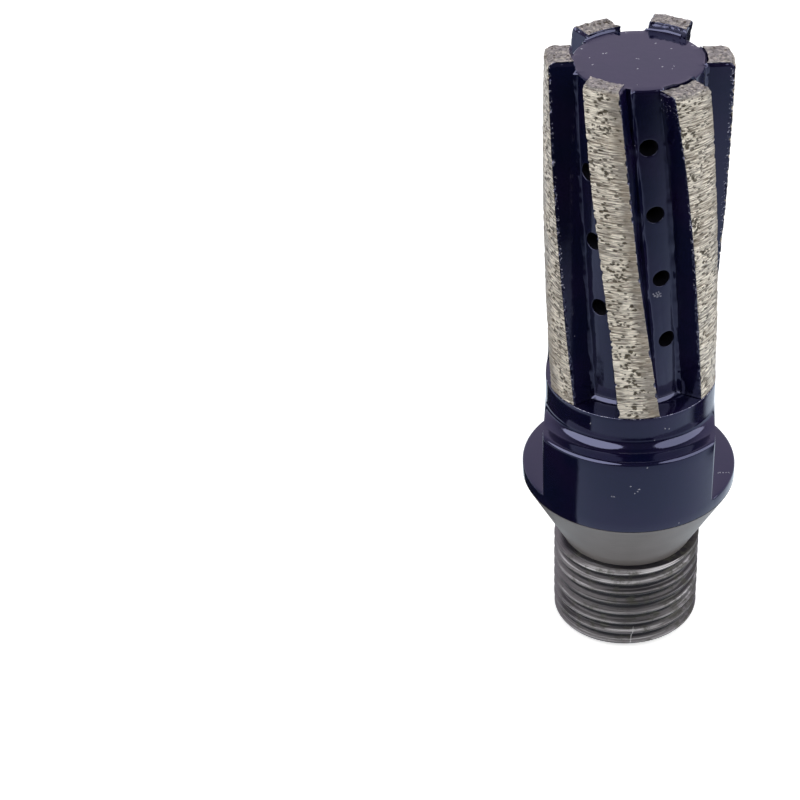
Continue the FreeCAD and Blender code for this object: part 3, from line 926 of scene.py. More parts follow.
@dataclass
class ThreadedShank:
    """Bare end of the bit: the cut thread, its relief and the cone up to the collar."""

    sizes: BitSizes
    pitch: float = THREAD_PITCH
    flank_angle: float = 27.5
    phase: float = 0.585
    rim_rise: float = 0.25
    ledge_rise: float = 0.10
    cone_drop: float = 0.55
    lead_in: float = 0.5
    mouth_chamfer: float = MOUTH_CHAMFER
    columns: int = 256
    rows_per_turn: int = 28
    root_fill: float = 0.78
    tool_mark: float = 0.020
    grain: Grain = field(default_factory=lambda: Grain(5))

    @property
    def crest_radius(self) -> float:
        """Rounding of the crests and roots of the pipe thread's form."""
        return 0.137329 * self.pitch

    @property
    def depth(self) -> float:
        """Depth of the thread from crest to root."""
        return 0.640327 * self.pitch

    def groove(self, offset: np.ndarray) -> np.ndarray:
        """Depth below the crest at a distance along the axis from the crest's middle.

        Args:
            offset: Distances in millimetres, from 0 to half the pitch.

        Returns:
            Depths in millimetres.
        """
        radius = self.crest_radius
        reach = radius * math.cos(math.radians(self.flank_angle))
        full_height = self.pitch / 2 / math.tan(math.radians(self.flank_angle))
        flank = offset / math.tan(math.radians(self.flank_angle)) - (full_height - self.depth) / 2
        from_root = self.pitch / 2 - offset
        crest = radius - np.sqrt(np.clip(radius**2 - offset**2, 0.0, None))
        root = self.depth - radius + np.sqrt(np.clip(radius**2 - from_root**2, 0.0, None))
        return np.where(offset < reach, crest, np.where(from_root < reach, root, flank))

    def skin(self, azimuth: np.ndarray, height: np.ndarray) -> tuple[np.ndarray, np.ndarray]:
        """Radius of the threaded part and how near it is to the crest.

        Args:
            azimuth: Azimuths in degrees.
            height: Heights in millimetres.

        Returns:
            Radii in millimetres, and values from 0 in the root to 1 on the crest.
        """
        sizes = self.sizes
        turns = height / self.pitch - azimuth / 360.0 + self.phase
        number = np.round(turns)
        offset = (turns - number) * self.pitch
        below = self.groove(np.abs(offset))
        below = soft_minimum(below, np.full_like(below, self.root_fill), 0.10)
        run = (number + azimuth / 360.0) * math.tau * sizes.thread_radius
        marks = self.grain.at(np.stack([offset, run, np.zeros_like(run)], axis=-1), (0.19, 14.0, 1.0))
        radius = sizes.thread_radius - below - self.tool_mark * (1.0 + marks)
        ease = 0.12
        lead = sizes.thread_radius - self.lead_in + height
        radius = soft_minimum(radius, lead, ease)
        radius = np.maximum(radius, sizes.relief_radius)
        crest = 1.0 - (sizes.thread_radius - radius) / self.root_fill
        return radius, np.clip(crest, 0.0, 1.0)

    def build(self, thread: bpy.types.Material, cone: bpy.types.Material) -> bpy.types.Object:
        """Build the shank as one closed skin.

        Args:
            thread: Finish of the thread, its end face and its relief.
            cone: Finish of the cone.

        Returns:
            The shank.
        """
        sizes = self.sizes
        shell = Shell("threaded_shank")
        azimuth = np.linspace(0.0, 360.0, self.columns, endpoint=False)
        rim = sizes.thread_top + self.rim_rise
        rows = int(round(rim / self.pitch * self.rows_per_turn))
        heights = np.linspace(0.0, rim, rows)
        grid_azimuth, grid_height = np.meshgrid(azimuth, heights)
        radius, crest = self.skin(grid_azimuth, grid_height)
        wall = unit_across(grid_azimuth) * radius[..., None]
        wall[..., 2] = grid_height
        numbers = shell.add_points(wall, crest=crest)
        shell.join_rows(numbers, closed=True)
        mouth = sizes.bore_radius + self.mouth_chamfer
        inner = [(mouth, 0.0), (sizes.bore_radius, self.mouth_chamfer),
                 (sizes.bore_radius, sizes.collar_foot / 2), (sizes.bore_radius, sizes.collar_foot)]
        face = np.linspace(0.0, 1.0, 4)[1:-1, None]
        edge_radius = radius[0]
        rings = [self.ring(edge_radius * (1 - share) + mouth * share, 0.0, azimuth) for share in face]
        rings += [self.ring(np.full(self.columns, r), z, azimuth) for r, z in inner]
        end = shell.add_points(np.stack(rings), crest=0.35)
        shell.join_rows(np.concatenate([numbers[:1], end]), closed=True)
        relief_rows = self.relief_and_cone(azimuth, radius[-1], rim)
        # The ledge over the relief takes the thread's root colour, a painted shade under the cone.
        outside = shell.add_points(relief_rows, crest=0.0)
        shell.join_rows(np.concatenate([numbers[-1:], outside[:4]]), closed=True)
        shell.join_rows(outside[3:], closed=True, finish=1)
        shell.join_rows(np.stack([outside[-1], end[-1]]), closed=True, finish=1)
        piece = shell.build([thread, cone], crease=50.0)
        settle(piece, Slot.STEEL, BODY_NODE)
        return piece

    def relief_and_cone(self, azimuth: np.ndarray, rim_radius: np.ndarray, rim: float) -> np.ndarray:
        """Rings from the thread's rim over its ledge into the relief and up the cone.

        Args:
            azimuth: Azimuths of the columns in degrees.
            rim_radius: Radius of the thread's last row at each column.
            rim: Height of the thread's last row.

        Returns:
            The rings' points in millimetres.
        """
        sizes = self.sizes
        foot = sizes.cone_foot - self.cone_drop
        rise = sizes.collar_foot - foot
        widening = sizes.collar_radius - sizes.relief_radius
        relief = np.full(self.columns, sizes.relief_radius)
        rings = [self.ring(np.maximum(rim_radius - 0.06, relief), rim + 0.04, azimuth),
                 self.ring(rim_radius * 0.4 + relief * 0.6, rim + 0.5 * self.ledge_rise, azimuth),
                 self.ring(relief, rim + self.ledge_rise, azimuth)]
        for share in np.linspace(0.0, 1.0, 24):
            radius = relief + widening * share
            rings.append(self.ring(radius, foot + rise * share, azimuth))
        return np.stack(rings)

    @staticmethod
    def ring(radius: np.ndarray, height: float, azimuth: np.ndarray) -> np.ndarray:
        """Ring of points at one height.

        Args:
            radius: Radius of each point in millimetres.
            height: Height of the ring in millimetres.
            azimuth: Azimuths of the points in degrees.

        Returns:
            The points in millimetres.
        """
        points = unit_across(azimuth) * radius[:, None]
        points[:, 2] = height
        return points


@dataclass(frozen=True)
class WaterHole:
    """One radial hole from the bore into a flute."""

    azimuth: float
    height: float
    radius: float = 1.2
    rim: float = 0.07


@dataclass
class PaintedBody:
    """Painted part of the body: collar with wrench flats, neck ring and pierced core."""

    sizes: BitSizes
    twist: Twist
    grain: Grain = field(default_factory=lambda: Grain(11))
    collar_edge: float = 0.55
    foot_edge: float = 0.15
    ledge_edge: float = 0.3
    ledge_fillet: float = 0.2
    flat_edge: float = 0.3
    neck_blend: float = 1.6
    neck_edge: float = 0.11
    core_fillet: float = 0.9
    core_edge: float = 0.22
    segment_width: float = SEGMENT_WIDTH
    first_hole: float = 9.9
    hole_pitch: float = 9.8
    hole_rows: int = 7
    row_twist_ratio: float = 1.25
    cell_columns: int = 24
    cell_rows: int = 22
    cell_half_angle: float = 13.5
    hidden_columns: int = 10
    bead_width: float = 0.40
    cell_rings: int = 8
    lip_rings: int = 4
    seat_inner_radius: float = 10.3
    drill_half_angle: float = 59.0

    @property
    def band(self) -> float:
        """Height of the stretch of core that belongs to one row of holes."""
        return self.hole_pitch / 2

    def polar_angles(self) -> np.ndarray:
        """Angles of the collar's columns, closer together round the flats' corners.

        Returns:
            Angles from +X in degrees.
        """
        corner = math.degrees(math.acos(self.sizes.half_flats / self.sizes.collar_radius))
        quarter = np.concatenate([
            np.linspace(0.0, corner - 2.0, 34, endpoint=False),
            np.linspace(corner - 2.0, corner + 2.0, 12, endpoint=False),
            np.linspace(corner + 2.0, 90.0, 32)])
        half = np.concatenate([quarter, 180.0 - quarter[-2::-1]])
        return np.concatenate([half[:-1], half[:-1] + 180.0])

    def collar_rows(self, angles: np.ndarray) -> list[tuple[np.ndarray, np.ndarray, float]]:
        """Rows of the collar and neck ring, from the paint's lower edge to the seat.

        Args:
            angles: Angles from +X of the columns, in degrees.

        Returns:
            For each row its radii, its heights and how worn it is.
        """
        sizes = self.sizes
        cosine = np.maximum(np.abs(np.cos(np.radians(angles))), 1e-6)
        flat = sizes.half_flats / cosine
        around = np.ones_like(angles)
        full = around * sizes.collar_radius
        flatted = soft_minimum(full, flat, self.flat_edge)
        width = full - flatted
        width[width < 0.01] = 0.0
        flatted = full - width
        rows = []
        for angle in np.radians(np.linspace(0.0, 90.0, 4)):
            inset = self.foot_edge * (1.0 - math.sin(angle))
            rise = self.foot_edge * (1.0 - math.cos(angle))
            rows.append((full - inset, around * (sizes.collar_foot + rise), 0.0))
        edge = np.minimum(self.ledge_edge, width)
        fillet = np.minimum(self.ledge_fillet, width - edge)
        rows.append((full, around * (sizes.ledge - self.ledge_edge), 0.0))
        for angle in np.radians(np.linspace(0.0, 90.0, 5)):
            radius = full - edge * (1.0 - math.cos(angle))
            rows.append((radius, sizes.ledge - edge * (1.0 - math.sin(angle)), 0.0))
        for angle in np.radians(np.linspace(0.0, 90.0, 5)):
            radius = flatted + fillet * (1.0 - math.sin(angle))
            rows.append((radius, sizes.ledge + fillet * (1.0 - math.cos(angle)), 0.0))
        collar_top = sizes.shoulder - self.collar_edge
        for height in np.linspace(sizes.ledge + self.ledge_edge, collar_top, 8, endpoint=False):
            rows.append((flatted, around * height, 0.0))
        for angle in np.radians(np.linspace(0.0, 90.0, 8)):
            radius = full - self.collar_edge * (1.0 - math.cos(angle))
            height = collar_top + self.collar_edge * math.sin(angle)
            rows.append((soft_minimum(radius, flat, self.flat_edge), around * height, 0.0))
        blend_radius = sizes.neck_radius + self.neck_blend
        for angle in np.radians(np.linspace(0.0, 90.0, 15)):
            radius = around * (blend_radius - self.neck_blend * math.sin(angle))
            height = sizes.shoulder + self.neck_blend * (1.0 - math.cos(angle))
            rows.append((soft_minimum(radius, flat, self.flat_edge), around * height, 0.0))
        blend_top = sizes.shoulder + self.neck_blend
        neck = around * sizes.neck_radius
        for height in np.linspace(blend_top, sizes.seat - self.neck_edge, 7)[1:]:
            rows.append((soft_minimum(neck, flat, self.flat_edge), around * height, 0.0))
        for angle in np.radians(np.linspace(0.0, 90.0, 5)[1:]):
            radius = neck - self.neck_edge * (1.0 - math.cos(angle))
            height = sizes.seat - self.neck_edge * (1.0 - math.sin(angle))
            wear = math.sin(2 * angle) ** 2
            rows.append((soft_minimum(radius, flat, self.flat_edge), around * height, wear))
        return rows

    def holes(self) -> dict[tuple[int, int], WaterHole]:
        """Place the water holes, half a pitch apart in neighbouring flutes.

        Returns:
            The holes by the flute that they open into and their row, both counted from 0.
        """
        middle = self.first_hole + self.hole_pitch * 1.5
        found = {}
        for flute in range(self.twist.count):
            base = self.twist.flute_middle(flute) - self.twist.turn(self.twist.foot_height + middle)
            for row in range(self.hole_rows):
                if (row + flute) % 2 == 0:
                    above = self.first_hole + row * self.band
                    lean = self.twist.turn(self.twist.foot_height + above - middle) * self.row_twist_ratio
                    found[flute, row] = WaterHole(base - lean, self.twist.foot_height + above)
        return found

    def core_radius_at(self, offset: np.ndarray, height: np.ndarray, flute: int) -> np.ndarray:
        """Radius of the core's skin, with the braze along the segment roots and the foot's fillet.

        Args:
            offset: Degrees from the middle of the flute.
            height: Heights in millimetres.
            flute: Number of the flute.

        Returns:
            Radii in millimetres.
        """
        sizes = self.sizes
        to_length = sizes.core_radius * math.pi / 180.0
        half_segment = math.degrees(math.asin(self.segment_width / 2 / sizes.core_radius))
        wall = self.twist.spacing / 2 - half_segment
        gap = (wall - np.abs(offset)) * to_length
        side = np.where(offset < 0.0, 2.0 * flute, 2.0 * flute + 1.0)
        points = np.stack([height, side, np.zeros_like(height)], axis=-1)
        width = self.bead_width * (1.0 + 0.45 * self.grain.at(points, (1.9, 1.0, 1.0)))
        width = width + 0.10 * self.grain.at(points + 7.3, (0.7, 1.0, 1.0))
        width = np.clip(width, 0.12, 0.62)
        inside = np.clip(width - gap, 0.0, width)
        bead = width - np.sqrt(np.clip(width**2 - inside**2, 0.0, None))
        bead = bead * smooth_step(gap, -0.55, -0.25)
        rise = np.clip(self.core_fillet - (height - sizes.seat), 0.0, self.core_fillet)
        foot = self.core_fillet - np.sqrt(self.core_fillet**2 - rise**2)
        coat_place = np.stack([offset * to_length, side * 0.5, height], axis=-1)
        broad = self.grain.at(coat_place, (1.6, 1.0, 5.0)) * 0.030
        fine = self.grain.at(coat_place, (0.8, 1.0, 1.9)) * 0.014
        above_seat = height - sizes.seat
        coat = (broad + fine) * smooth_step(gap, 0.0, 0.8) * smooth_step(above_seat, 1.5, 4.0)
        coat = coat * smooth_step(sizes.core_end - height, 0.3, 2.0) * smooth_step(above_seat, 34.0, 16.0)
        return sizes.core_radius + np.maximum(bead, foot) + coat

    def core_point(self, flute: int, offset: np.ndarray, height: np.ndarray) -> np.ndarray:
        """Points on the core's skin.

        Args:
            flute: Number of the flute.
            offset: Degrees from the middle of the flute.
            height: Heights in millimetres.

        Returns:
            The points in millimetres.
        """
        azimuth = self.twist.flute_middle(flute) + offset - self.twist.turn(height)
        points = unit_across(azimuth) * self.core_radius_at(offset, height, flute)[..., None]
        points[..., 2] = height
        return points

    @staticmethod
    def border(columns: np.ndarray, rows: np.ndarray) -> np.ndarray:
        """Points round the border of a cell, anticlockwise from its lower left corner.

        Args:
            columns: Places of the cell's columns, left to right.
            rows: Heights of the cell's rows, bottom to top.

        Returns:
            One row of two lengths for each point.
        """
        low = [(x, rows[0]) for x in columns[:-1]]
        right = [(columns[-1], y) for y in rows[:-1]]
        high = [(x, rows[-1]) for x in columns[:0:-1]]
        left = [(columns[0], y) for y in rows[:0:-1]]
        return np.array(low + right + high + left)

    def hole_ring(self, hole: WaterHole, angle: np.ndarray, across: float,
                  wall: np.ndarray | float) -> np.ndarray:
        """Ring of points round a hole's axis.

        Args:
            hole: The hole.
            angle: Angles round the hole's axis, in radians.
            across: Distance from the hole's axis in millimetres.
            wall: Distance from the bit's axis in millimetres.

        Returns:
            The points in millimetres.
        """
        side = across * np.cos(angle)
        out = np.sqrt(np.asarray(wall) ** 2 - side**2)
        azimuth = np.full_like(angle, hole.azimuth)
        points = unit_across(azimuth) * out[:, None] + unit_along(azimuth) * side[:, None]
        points[:, 2] = hole.height + across * np.sin(angle)
        return points

    def pierce(self, shell: Shell, flute: int, hole: WaterHole,
               core_cell: tuple[np.ndarray, np.ndarray], bore_cell: tuple[np.ndarray, np.ndarray]) -> None:
        """Lay the skin round one hole, from the flute's floor over the rim and in to the bore.

        Args:
            shell: Skin that takes the faces.
            flute: Number of the flute.
            hole: The hole.
            core_cell: Columns and rows of the cell on the core, in degrees and millimetres.
            bore_cell: Columns and rows of the cell on the bore.
        """
        to_length = self.sizes.core_radius * math.pi / 180.0
        border = self.border(*core_cell)
        middle = self.twist.flute_middle(flute)
        centre = hole.azimuth + self.twist.turn(hole.height) - middle
        angle = np.arctan2(border[:, 1] - hole.height, (border[:, 0] - centre) * to_length)
        outer = hole.radius + hole.rim
        side = outer * np.cos(angle)
        circle_height = hole.height + outer * np.sin(angle)
        circle_offset = (hole.azimuth + np.degrees(np.arcsin(side / self.sizes.core_radius))
                         + self.twist.turn(circle_height) - middle)
        circle = np.stack([circle_offset, circle_height], axis=-1)
        rings = []
        for share in np.linspace(0.0, 1.0, self.cell_rings) ** 0.8:
            place = border * (1.0 - share) + circle * share
            rings.append(self.core_point(flute, place[:, 0], place[:, 1]))
        lip = np.hypot(rings[-1][:, 0], rings[-1][:, 1])
        for turn in np.radians(np.linspace(0.0, 90.0, self.lip_rings + 1)[1:]):
            across = hole.radius + hole.rim * (1.0 - math.sin(turn))
            settle_down = smooth_step(np.full_like(lip, turn), 0.0, math.pi / 2)
            wall = lip * (1.0 - settle_down) + self.sizes.core_radius * settle_down
            rings.append(self.hole_ring(hole, angle, across, wall - hole.rim * (1.0 - math.cos(turn))))
        for wall in (self.sizes.core_radius * 0.8, self.sizes.core_radius * 0.62):
            rings.append(self.hole_ring(hole, angle, hole.radius, wall))
        rings.append(self.hole_ring(hole, angle, hole.radius, self.sizes.bore_radius))
        inner_border = self.border(*bore_cell)
        azimuth = middle + inner_border[:, 0] - self.twist.turn(inner_border[:, 1])
        edge = unit_across(azimuth) * self.sizes.bore_radius
        edge[:, 2] = inner_border[:, 1]
        rim = rings[-1]
        for share in (0.5, 1.0):
            blended = rim * (1.0 - share) + edge * share
            length = np.hypot(blended[:, 0], blended[:, 1])
            blended[:, :2] *= (self.sizes.bore_radius / length)[:, None]
            rings.append(blended)
        numbers = shell.add_points(np.stack(rings))
        painted_rings = self.cell_rings + self.lip_rings
        shell.join_rows(numbers[:painted_rings], closed=True)
        shell.join_rows(numbers[painted_rings - 1:], closed=True, finish=1)

    def sector_columns(self) -> np.ndarray:
        """Places of the core's columns over one segment spacing.

        Returns:
            Degrees from the middle of the flute.
        """
        half = self.twist.spacing / 2
        hidden = np.linspace(self.cell_half_angle, half, self.hidden_columns // 2 + 1)
        cell = np.linspace(-self.cell_half_angle, self.cell_half_angle, self.cell_columns + 1)
        return np.concatenate([-hidden[:0:-1], cell, hidden[1:]])

    def add_core(self, shell: Shell) -> tuple[np.ndarray, np.ndarray]:
        """Lay the core's skin and the bore's, with the holes between them.

        Args:
            shell: Skin that takes the faces.

        Returns:
            Numbers of the ring at the core's foot and of the ring at the bore's foot.
        """
        sizes = self.sizes
        columns = self.sector_columns()
        cell = columns[self.hidden_columns // 2: self.hidden_columns // 2 + self.cell_columns + 1]
        bore_columns = np.linspace(-self.twist.spacing / 2, self.twist.spacing / 2, self.cell_columns + 1)
        low = self.twist.foot_height + self.first_hole - self.band / 2
        edges = low + self.band * np.arange(self.hole_rows + 1)
        bore_edges = edges.copy()
        bore_edges[-1] = sizes.bore_top
        holes = self.holes()
        foot = np.concatenate([
            sizes.seat + self.core_fillet * (1 - np.cos(np.radians(np.linspace(0, 90, 7)[:-1]))),
            np.linspace(sizes.seat + self.core_fillet, edges[0], 28)])
        top = np.linspace(edges[-1], sizes.core_end - self.core_edge, 26)
        bore_foot = np.linspace(sizes.collar_foot, edges[0], 8)
        foot_ring, bore_ring = [], []
        for flute in range(self.twist.count):
            for heights in (foot, top):
                offset, height = np.meshgrid(columns, heights)
                numbers = shell.add_points(self.core_point(flute, offset, height))
                shell.join_rows(numbers)
                if heights is foot:
                    foot_ring.append(numbers[0, :-1])
            self.add_bore_rows(shell, flute, bore_columns, bore_foot, bore_ring)
            for row in range(self.hole_rows):
                heights = np.linspace(edges[row], edges[row + 1], self.cell_rows + 1)
                inner_heights = np.linspace(bore_edges[row], bore_edges[row + 1], self.cell_rows + 1)
                if (flute, row) not in holes:
                    offset, height = np.meshgrid(columns, heights)
                    shell.join_rows(shell.add_points(self.core_point(flute, offset, height)))
                    self.add_bore_rows(shell, flute, bore_columns, inner_heights, None)
                    continue
                self.pierce(shell, flute, holes[flute, row], (cell, heights), (bore_columns, inner_heights))
                side = self.hidden_columns // 2
                for strip in (columns[:side + 1], columns[-side - 1:]):
                    offset, height = np.meshgrid(strip, heights)
                    shell.join_rows(shell.add_points(self.core_point(flute, offset, height)))
        return np.concatenate(foot_ring), np.concatenate(bore_ring)

    def add_bore_rows(self, shell: Shell, flute: int, columns: np.ndarray, heights: np.ndarray,
                      foot_ring: list[np.ndarray] | None) -> None:
        """Lay plain rows of the bore's wall in one sector.

        Args:
            shell: Skin that takes the faces.
            flute: Number of the flute.
            columns: Degrees from the middle of the flute.
            heights: Heights of the rows in millimetres.
            foot_ring: List that takes the numbers of the lowest row, or none.
        """
        offset, height = np.meshgrid(columns, heights)
        azimuth = self.twist.flute_middle(flute) + offset - self.twist.turn(height)
        points = unit_across(azimuth) * self.sizes.bore_radius
        points[..., 2] = height
        numbers = shell.add_points(points)
        shell.join_rows(numbers, finish=1)
        if foot_ring is not None:
            foot_ring.append(numbers[0, :-1])

    def add_ends(self, shell: Shell) -> None:
        """Close the core's end and the bore's drilled point.

        Args:
            shell: Skin that takes the faces.
        """
        sizes = self.sizes
        columns = self.sector_columns()[:-1]
        offset = np.concatenate([columns for _ in range(self.twist.count)])
        base = np.concatenate(
            [np.full_like(columns, self.twist.flute_middle(flute)) for flute in range(self.twist.count)])
        half_segment = math.degrees(math.asin(self.segment_width / 2 / sizes.core_radius))
        wall = self.twist.spacing / 2 - half_segment
        behind = smooth_step(np.abs(offset), wall - 0.4, wall + 1.2)
        azimuth = base + offset - self.twist.turn(np.full_like(offset, sizes.core_end))
        start = base + offset - self.twist.turn(np.full_like(offset, sizes.core_end - self.core_edge))
        lift = 0.50 + 0.14 * self.grain.along(azimuth * sizes.core_radius * math.pi / 180.0, 1.1, 40.0)
        flutes = [np.full_like(columns, flute) for flute in range(self.twist.count)]
        lip = np.concatenate([
            self.core_radius_at(columns, np.full_like(columns, sizes.core_end - self.core_edge), int(f[0]))
            for f in flutes])
        rings = [unit_across(start) * lip[:, None]]
        rings[0][:, 2] = sizes.core_end - self.core_edge
        for turn in np.radians(np.linspace(0.0, 90.0, 6)[1:]):
            rounded = lip - self.core_edge * (1.0 - math.cos(turn))
            rounded_height = sizes.core_end - self.core_edge * (1.0 - math.sin(turn))
            climbed = sizes.core_radius - lift * (1.0 - math.cos(turn)) + 0.05
            climbed_height = sizes.core_end + lift * (1.0 - math.sin(turn))
            radius = rounded * (1.0 - behind) + climbed * behind
            ring = unit_across(azimuth) * radius[:, None]
            ring[:, 2] = rounded_height * (1.0 - behind) + climbed_height * behind
            rings.append(ring)
        for share in (0.86, 0.7, 0.5, 0.3, 0.12):
            ring = unit_across(azimuth) * (sizes.core_radius * share)
            ring[:, 2] = sizes.core_end
            rings.append(ring)
        numbers = shell.add_points(np.stack(rings))
        shell.join_rows(numbers, closed=True)
        shell.close_ring(numbers[-1], np.array([0.0, 0.0, sizes.core_end]))
        bore_columns = np.linspace(-self.twist.spacing / 2, self.twist.spacing / 2, self.cell_columns + 1)
        bore_azimuth = np.concatenate([
            self.twist.flute_middle(flute) + bore_columns[:-1]
            - self.twist.turn(np.full(self.cell_columns, sizes.bore_top))
            for flute in range(self.twist.count)])
        rim = unit_across(bore_azimuth) * sizes.bore_radius
        rim[:, 2] = sizes.bore_top
        point_rise = sizes.bore_radius / math.tan(math.radians(self.drill_half_angle))
        inner = rim * np.array([0.3, 0.3, 1.0])
        inner[:, 2] += point_rise * 0.7
        numbers = shell.add_points(np.stack([rim, inner]))
        shell.join_rows(numbers, closed=True, finish=1)
        shell.close_ring(numbers[-1], np.array([0.0, 0.0, sizes.bore_top + point_rise]), finish=1)

    def build(self, paint: bpy.types.Material, bore: bpy.types.Material) -> bpy.types.Object:
        """Build the painted part as one closed skin.

        Args:
            paint: Finish of the outside.
            bore: Finish of the bore and the holes, near black as a painted shade.

        Returns:
            The painted part of the body.
        """
        sizes = self.sizes
        shell = Shell("painted_body")
        angles = self.polar_angles()
        radians = np.radians(angles)
        rows = self.collar_rows(angles)
        last_radius, last_height, _ = rows[-1]
        rows.append((np.full_like(last_radius, self.seat_inner_radius), last_height, 0.0))
        points = np.stack([
            np.stack([radius * np.cos(radians), radius * np.sin(radians), height], axis=-1)
            for radius, height, _ in rows])
        wear = np.array([wear for _, _, wear in rows])[:, None]
        collar = shell.add_points(points, wear=wear)
        shell.join_rows(collar, closed=True)
        foot_ring, bore_ring = self.add_core(shell)
        self.add_ends(shell)
        shell.stitch(collar[-1], foot_ring)
        shell.stitch(collar[0], bore_ring, finish=1)
        piece = shell.build([paint, bore], crease=40.0)
        settle(piece, Slot.PAINT, BODY_NODE)
        return piece


@dataclass(frozen=True)
class SegmentFit:
    """How one hand-brazed segment differs from the straight bar, in millimetres.

    The edges and the stand-off are given at the foot, the quarters of the height and the top.
    """

    seed: int
    left_edge: tuple[float, ...] = (0.0, 0.0, 0.0, 0.0, 0.0)
    right_edge: tuple[float, ...] = (0.0, 0.0, 0.0, 0.0, 0.0)
    stand_off: tuple[float, ...] = (0.0, 0.0, 0.0, 0.0, 0.0)
    outer_drop: float = 0.1
    inner_drop: float = 0.2
    inner_lean: float = 0.0
    pits: int = 170
    pit_middle: float = 0.45
    pit_spread: float = 0.35
    calm_from: float = 0.55
    calm_to: float = 0.80
    left_wear: float = 0.0
    right_wear: float = 0.0


FITS = (
    SegmentFit(21, (-0.40, -0.18, -0.28, -0.36, -0.05), (0.13, -0.20, -0.40, -0.22, -0.08),
               outer_drop=0.05, inner_drop=0.50, inner_lean=-0.55, pit_spread=0.28),
    SegmentFit(22, (0.0, 0.05, 0.10, -0.05, -0.50), (0.05, 0.10, 0.15, 0.10, -0.05),
               (0.0, 0.15, 0.20, 0.15, 0.0), outer_drop=1.30, inner_drop=1.45,
               pit_middle=0.15, calm_from=0.70, calm_to=1.10, left_wear=0.25),
    SegmentFit(23, stand_off=(0.0, 0.25, 0.40, 0.40, 0.40), outer_drop=1.10, inner_drop=1.10),
    SegmentFit(24, (-0.1, -0.1, -0.1, -0.1, -0.15), (0.0, 0.0, 0.0, 0.0, 0.30),
               outer_drop=0.15, inner_drop=0.22, inner_lean=-0.60),
    SegmentFit(25, (0.0, -0.1, -0.2, -0.3, -0.45), (0.0, -0.1, -0.2, -0.35, -0.50),
               outer_drop=0.50, inner_drop=0.85, inner_lean=-0.25, right_wear=1.0),
    SegmentFit(26, (-0.30, -0.45, -0.45, -0.30, -0.10), (0.12, 0.15, 0.15, 0.0, 0.0),
               (0.0, 0.20, 0.30, 0.30, 0.20), outer_drop=0.05, inner_drop=0.0,
               pit_middle=0.55, calm_from=-0.6, calm_to=0.1))


